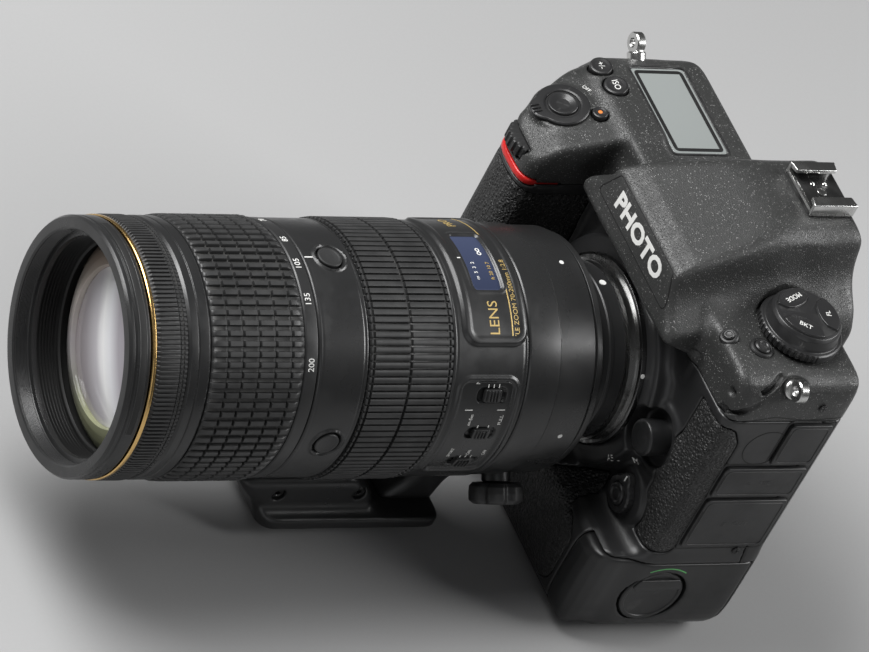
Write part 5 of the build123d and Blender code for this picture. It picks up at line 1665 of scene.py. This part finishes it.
# lens release and focus selector on the front
releasePlace = frontPlace(release["x"], release["z"], frontY)
cap = turnedAt("releaseCap", releasePlace, [(0.02, 6.4), (2.8, 6.5), (5.4, 6.9), (6.2, 6.6), (6.4, 6.0),
        (6.4, -3), (0.02, -3)][::-1], smoothPlastic, 0.6, 96)
settle(cap, "lens_release", "black_plastic", "lens_release")
selectorPlace = frontPlace(selector["x"], selector["z"], frontY)


def selectorShape(angle, r, h):
    d = abs((angle - math.pi / 2 + math.pi) % (2 * math.pi) - math.pi)
    return 1.0 + (0.32 * max(0.0, math.cos(min(d * 3.2, math.pi / 2))) if r > 5.5
                  else 0.0) + 0.012 * math.cos(angle * 24) * (r > 6)


ring = turnedAt("selectorRing", selectorPlace, [(4.25, 0.35), (6.4, 0.35), (6.8, 0.8), (6.8, 2.8),
        (6.3, 3.35), (4.7, 3.4), (4.25, 3.0)], dialPlastic, 0.3, 144, 35, selectorShape)
settle(ring, "focus_selector", "black_plastic", "focus_selector")
cap = turnedAt("focusModeCap", selectorPlace, [(0.02, 3.9), (1.8, 3.9), (2.4, 3.6), (3.2, 4.15),
        (3.9, 3.8), (4.0, 3.2), (4.0, -3.4), (0.02, -3.4)][::-1], dialPlastic, 0.3, 64)
settle(cap, "focus_mode_button", "black_plastic", "focus_mode_button")
surfaceText("focusAuto", "AF", 3.0, selector["x"] - 8.6, selector["z"] + 8.6, 45.0)
surfaceText("focusManual", "M", 3.0, selector["x"] - 3.4, selector["z"] + 12.6, 30.0)
mark = raisedShape("selectorMark", selectorPlace, between(-0.3, 0.3, 6.3, 8.6), 3.2, 3.45, whiteMark, 0.05,
                   1, 35, 0.1)
settle(mark, "focus_selector", "window_glass")

# connector covers on the side: plates with a lip, a tab slot and embossed signs
signs = {"usb": ("", 0, 0), "audio": ("o    MIC", 3.0, 0), "network": ("#   OUT", 3.0, 0)}
for key, (y0, y1, z0, z1) in panel.items():
    sideP = sidePlace((y0 + y1) / 2, (z0 + z1) / 2)
    hy, hz = (y1 - y0) / 2 - 0.05, (z1 - z0) / 2 - 0.05
    cover = raisedShape(key + "Plate", sideP, oblong(hy, hz), -1.55, 0.32, sidePlastic, 0.45, 4, 35, 1.6)
    settle(cover, key + "_cover", "rubber", key + "_cover")
    inner = between(-hy + 1.3, hy - 1.3, -hz + 1.3, hz - 1.3)
    line = softOutline(inner, 1.8, 6)
    path, ups = [sideP.at(a, b, 0.33) for a, b in line], [(1, 0, 0)] * len(line)
    ribbon(key + "Rim", path, ups, 0.32, 0.14, sidePlastic, key + "_cover", "rubber", True)
    tab = raisedShape(key + "Tab", sideP, between(-hy + 0.5, -hy + 1.0, -hz * 0.55, hz * 0.55), 0.3, 0.42,
                      grooveDark, 0.03, 1, 35, 0.2)
    settle(tab, key + "_cover", "rubber")
    if signs[key][0]:
        placeText(key + "Sign", signs[key][0], signs[key][1], sideP, 0, 0, 0.34, key + "_cover", 0.0,
                  dialPlastic, "rubber")
circle = [(12 + 8 * math.cos(t), 99 + 8 * math.sin(t)) for t in np.linspace(0, 2 * math.pi, 60,
        endpoint=False)]
surfaceLine("sideCircle", [(a, b, 0) for a, b in circle], "side", 80, 0.45, 0.10, grooveDark,
            "black_plastic")
surfaceLine("sideFold", [(-3.0, 112), (9, 114.5), (22, 113.0), (36, 114.0)], "side", 80, 0.35, 0.08,
            grooveDark, "black_plastic", False, 3)
surfaceLine("coverFrame", [(-1.2, 91.0, 2), (16, 91.0, 2), (16, 112.6, 3), (36, 112.6, 3), (36, 48.3, 3),
                           (-1.2, 48.3, 3)], "side", 80, 0.4, 0.08, grooveDark, "black_plastic")
pieceCard = raisedShape("cardDoorPlate", Place((leftX, 19.0, 78.0), (0, -1, 0), (-1, 0, 0)),
                        oblong(12.95, 25.95), -1.55, 0.42, leather, 0.5, 4, 35, 2.6)
settle(pieceCard, "card_door", "rubber", "card_door")

# battery end: latch disc with a folding bar and a green arrow
latchPlace = sidePlace(latch["y"], latch["z"])
disc = turnedAt("latchDisc", latchPlace, [(0.02, -2.6), (11.9, -2.6), (12.0, -2.2), (12.0, -0.8),
        (11.6, -0.3), (10.4, -0.3), (10.1, -0.7), (0.02, -0.7)], smoothPlastic, 0.25, 120)
bar = raisedShape("latchBar", latchPlace, [(-8.6, 3.2), (8.6, 3.2), (10.0, 4.8), (8.4, 8.4), (-8.4, 8.4),
        (-10.0, 4.8)], -0.9, 0.3, smoothPlastic, 0.5, 4, 35, 1.4)
stud = turnedAt("latchStud", latchPlace, between(0.02, 2.5, -6.0, -2.4), blackSteel, 0.1, 40)
settle(joined("latchPiece", [disc, bar, stud]), "battery_latch", "black_plastic", "battery_latch")
arrowPath = [latchPlace.at(latch["arrowRadius"] * math.cos(t), latch["arrowRadius"] * math.sin(t), 0.02)
             for t in np.linspace(math.radians(58), math.radians(118), 24)]
arrowSpots, arrowUps = [], []
for q in arrowPath:
    s, u = onSurface(q + np.array((12, 0, 0)), (-1, 0, 0))
    arrowSpots.append(s)
    arrowUps.append(u)
ribbon("greenArrow", arrowSpots, arrowUps, 0.5, 0.08, greenMark, "battery", "casing")

# accessory shoe and strap lugs
shoe = {"y": flangeY + 57.5, "wide": 10.7, "long": 9.0, "slot": 9.35, "rail": 6.3}
shoePlace = topPlace(0, shoe["y"], topZ)
parts = [raisedShape("shoeFloor", shoePlace, oblong(10.6, shoe["long"]), -0.8, 0.75, blackSteel, 0.15, 2,
                     35, 0.6)]
for s in (-1, 1):
    parts.append(raisedShape("shoeWall", shoePlace, between(s * shoe["slot"], s * shoe["wide"],
            -shoe["long"], shoe["long"]), -0.3, 4.55, steel, 0.3, 3, 35, 0.3))
    parts.append(raisedShape("shoeRail", shoePlace, [(s * shoe["rail"], -8.2), (s * 10.6, -shoe["long"]),
            (s * 10.6, shoe["long"]), (s * shoe["rail"], 8.2)], 3.25, 4.6, steel, 0.3, 3, 35, 0.8))
parts.append(raisedShape("shoeStop", shoePlace, between(-9.4, 9.4, -shoe["long"], -7.6), 0.5, 1.5, steel,
                         0.2, 2, 35, 0.4))
settle(joined("shoePiece", parts), "camera", "steel", "accessory_shoe")
for k, (x, y, r) in enumerate(((0, 0.6, 1.9), (-3.6, 3.4, 0.9), (3.6, 3.4, 0.9), (-3.6, -1.6, 0.9),
                               (3.6, -1.6, 0.9))):
    contact = turnedAt("shoeContact" + str(k), shoePlace, [(0.02, 1.15), (r * 0.7, 1.12), (r, 0.95),
            (r, 0.5), (0.02, 0.5)][::-1], steel, 0.12, 32)
    contact.data.transform(Matrix.Translation((x * mm, y * mm, 0)))
    settle(contact, "camera", "steel")
lugPlaces = {"left": ((rightX - 3.2, 11.0, casing["shoulder"] - 5.2), 52),
             "right": ((leftX + 2.4, 13.0, casing["gripTop"] - 3.0), -45),
             "low": ((leftX, -6.0, 24.0), -90)}
lug = {"segments": 48, "eyeHeight": 4.6}
lugParts = []
for key, (spot, tilt) in lugPlaces.items():
    t = math.radians(tilt)
    place = Place(spot, (math.cos(t), 0, -math.sin(t)), (math.sin(t), 0, math.cos(t)))
    post = turnedAt("lugPost", place, [(0.02, -3.5), (3.4, -3.5), (3.4, 1.0), (3.0, 1.5), (0.02, 1.6)],
                    steel, 0.25, 48)
    rows = [(1.4, -1.3), (1.8, -1.7), (3.5, -1.7), (3.9, -1.3), (3.9, 1.3), (3.5, 1.7), (1.8, 1.7),
            (1.4, 1.3)]
    points = []
    for k in range(lug["segments"]):
        a = 2 * math.pi * k / lug["segments"]
        points += [place.at(r * math.cos(a), h, lug["eyeHeight"] + r * math.sin(a)) for r, h in rows]
    eye = meshObject("lugEye", points, latheFaces(lug["segments"], len(rows)), steel, 35)
    stem = raisedShape("lugStem", place, oblong(2.8, 1.4), 0.5, 2.7, steel, 0.3, 3, 35, 0.8)
    lugParts += [post, eye, stem]
settle(joined("strapLugs", lugParts), "camera", "steel", "strap_lugs")
print("controls done")

# carried-over pieces of the frame get their materials
carried = {"mirror_box": (innerBlack, "inner_black"), "viewfinder_optics": (opticalGlass, "optical_glass"),
           "shutter_and_sensor": (blackSteel, "black_steel"), "lens_bayonet": (steel, "steel"),
           "battery": (darkPlastic, "black_plastic"), "reflex_mirror": (mirrorGlass, "mirror")}
for name, (material, slotName) in carried.items():
    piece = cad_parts[name]
    piece.data.materials.clear()
    piece.data.materials.append(material)

# floor, studio light and camera
studio = {"floorTone": 0.34, "worldTone": 0.55, "worldStrength": 0.12, "aim": (0.0, -0.08, 0.08)}
lamps = {"keyLight": {"spot": (-0.35, -0.55, 0.95), "size": (0.7, 0.7), "power": 20.0, "tint": (1, 1, 1)},
         "fillLight": {"spot": (1.3, -0.5, 0.5), "size": (0.9, 0.9), "power": 2.0,
                       "tint": (0.97, 0.98, 1.0)},
         "rimLight": {"spot": (0.3, 0.9, 0.7), "size": (0.8, 0.4), "power": 12.0, "tint": (1, 1, 1)}}


def floorMaterial():
    m, t, shader, place = newMaterial("floorPaper")
    cloud = noiseOf(t, place, 2.0, 3.0)
    fibre = noiseOf(t, place, 900, 2.0)
    tone = studio["floorTone"]
    linked(t, mixColor(t, cloud, (tone, tone, tone, 1), (tone * 0.96, tone * 0.96, tone * 0.965, 1)),
           shader.inputs["Base Color"])
    linked(t, ramp(t, fibre, 0.2, 0.8, 0.75, 0.9), shader.inputs["Roughness"])
    bumpInto(t, shader, fibre, 0.05, 0.0001)
    return m


floorReach, floorDrop = 6000.0, 0.2
floorCorners = [(a, b, -floorDrop) for a, b in oblong(floorReach, floorReach)]
floor = meshObject("floorSheet", floorCorners, [(0, 1, 2, 3)], floorMaterial(), 0)


def softBox(name, spot, size, power, tint):
    data = bpy.data.lights.new(name, "AREA")
    data.shape = "RECTANGLE"
    data.size, data.size_y = size
    data.energy = power
    data.color = tint
    lamp = bpy.data.objects.new(name, data)
    bpy.context.scene.collection.objects.link(lamp)
    lamp.location = spot
    lamp.rotation_mode = "QUATERNION"
    lamp.rotation_quaternion = (Vector(studio["aim"]) - Vector(spot)).to_track_quat("-Z", "Y")


for name, lamp in lamps.items():
    softBox(name, **lamp)
world = bpy.data.worlds.new("studioAir")
world.use_nodes = True
back = world.node_tree.nodes["Background"]
back.inputs[0].default_value = (studio["worldTone"],) * 3 + (1,)
back.inputs[1].default_value = studio["worldStrength"]
bpy.context.scene.world = world

lookout = {"spot": (1.19369561, -1.13819806, 1.34273004), "right": (0.35451725, 0.85469411, 0.37923013),
           "down": (0.72596862, 0.00401812, -0.68771608),
           "ahead": (-0.58931068, 0.51911639, -0.61905662), "focal": 248.47, "sensor": 36.0}
data = bpy.data.cameras.new("lookout")
data.lens = lookout["focal"]
data.sensor_width = lookout["sensor"]
data.clip_start, data.clip_end = 0.05, 60.0
camera = bpy.data.objects.new("lookout", data)
bpy.context.scene.collection.objects.link(camera)
right, down, ahead = (Vector(lookout[k]) for k in ("right", "down", "ahead"))
turn = Matrix((right, -down, -ahead)).transposed().to_4x4()
camera.matrix_world = Matrix.Translation(Vector(lookout["spot"])) @ turn
bpy.context.scene.camera = camera
bpy.context.scene.view_settings.view_transform = "Standard"
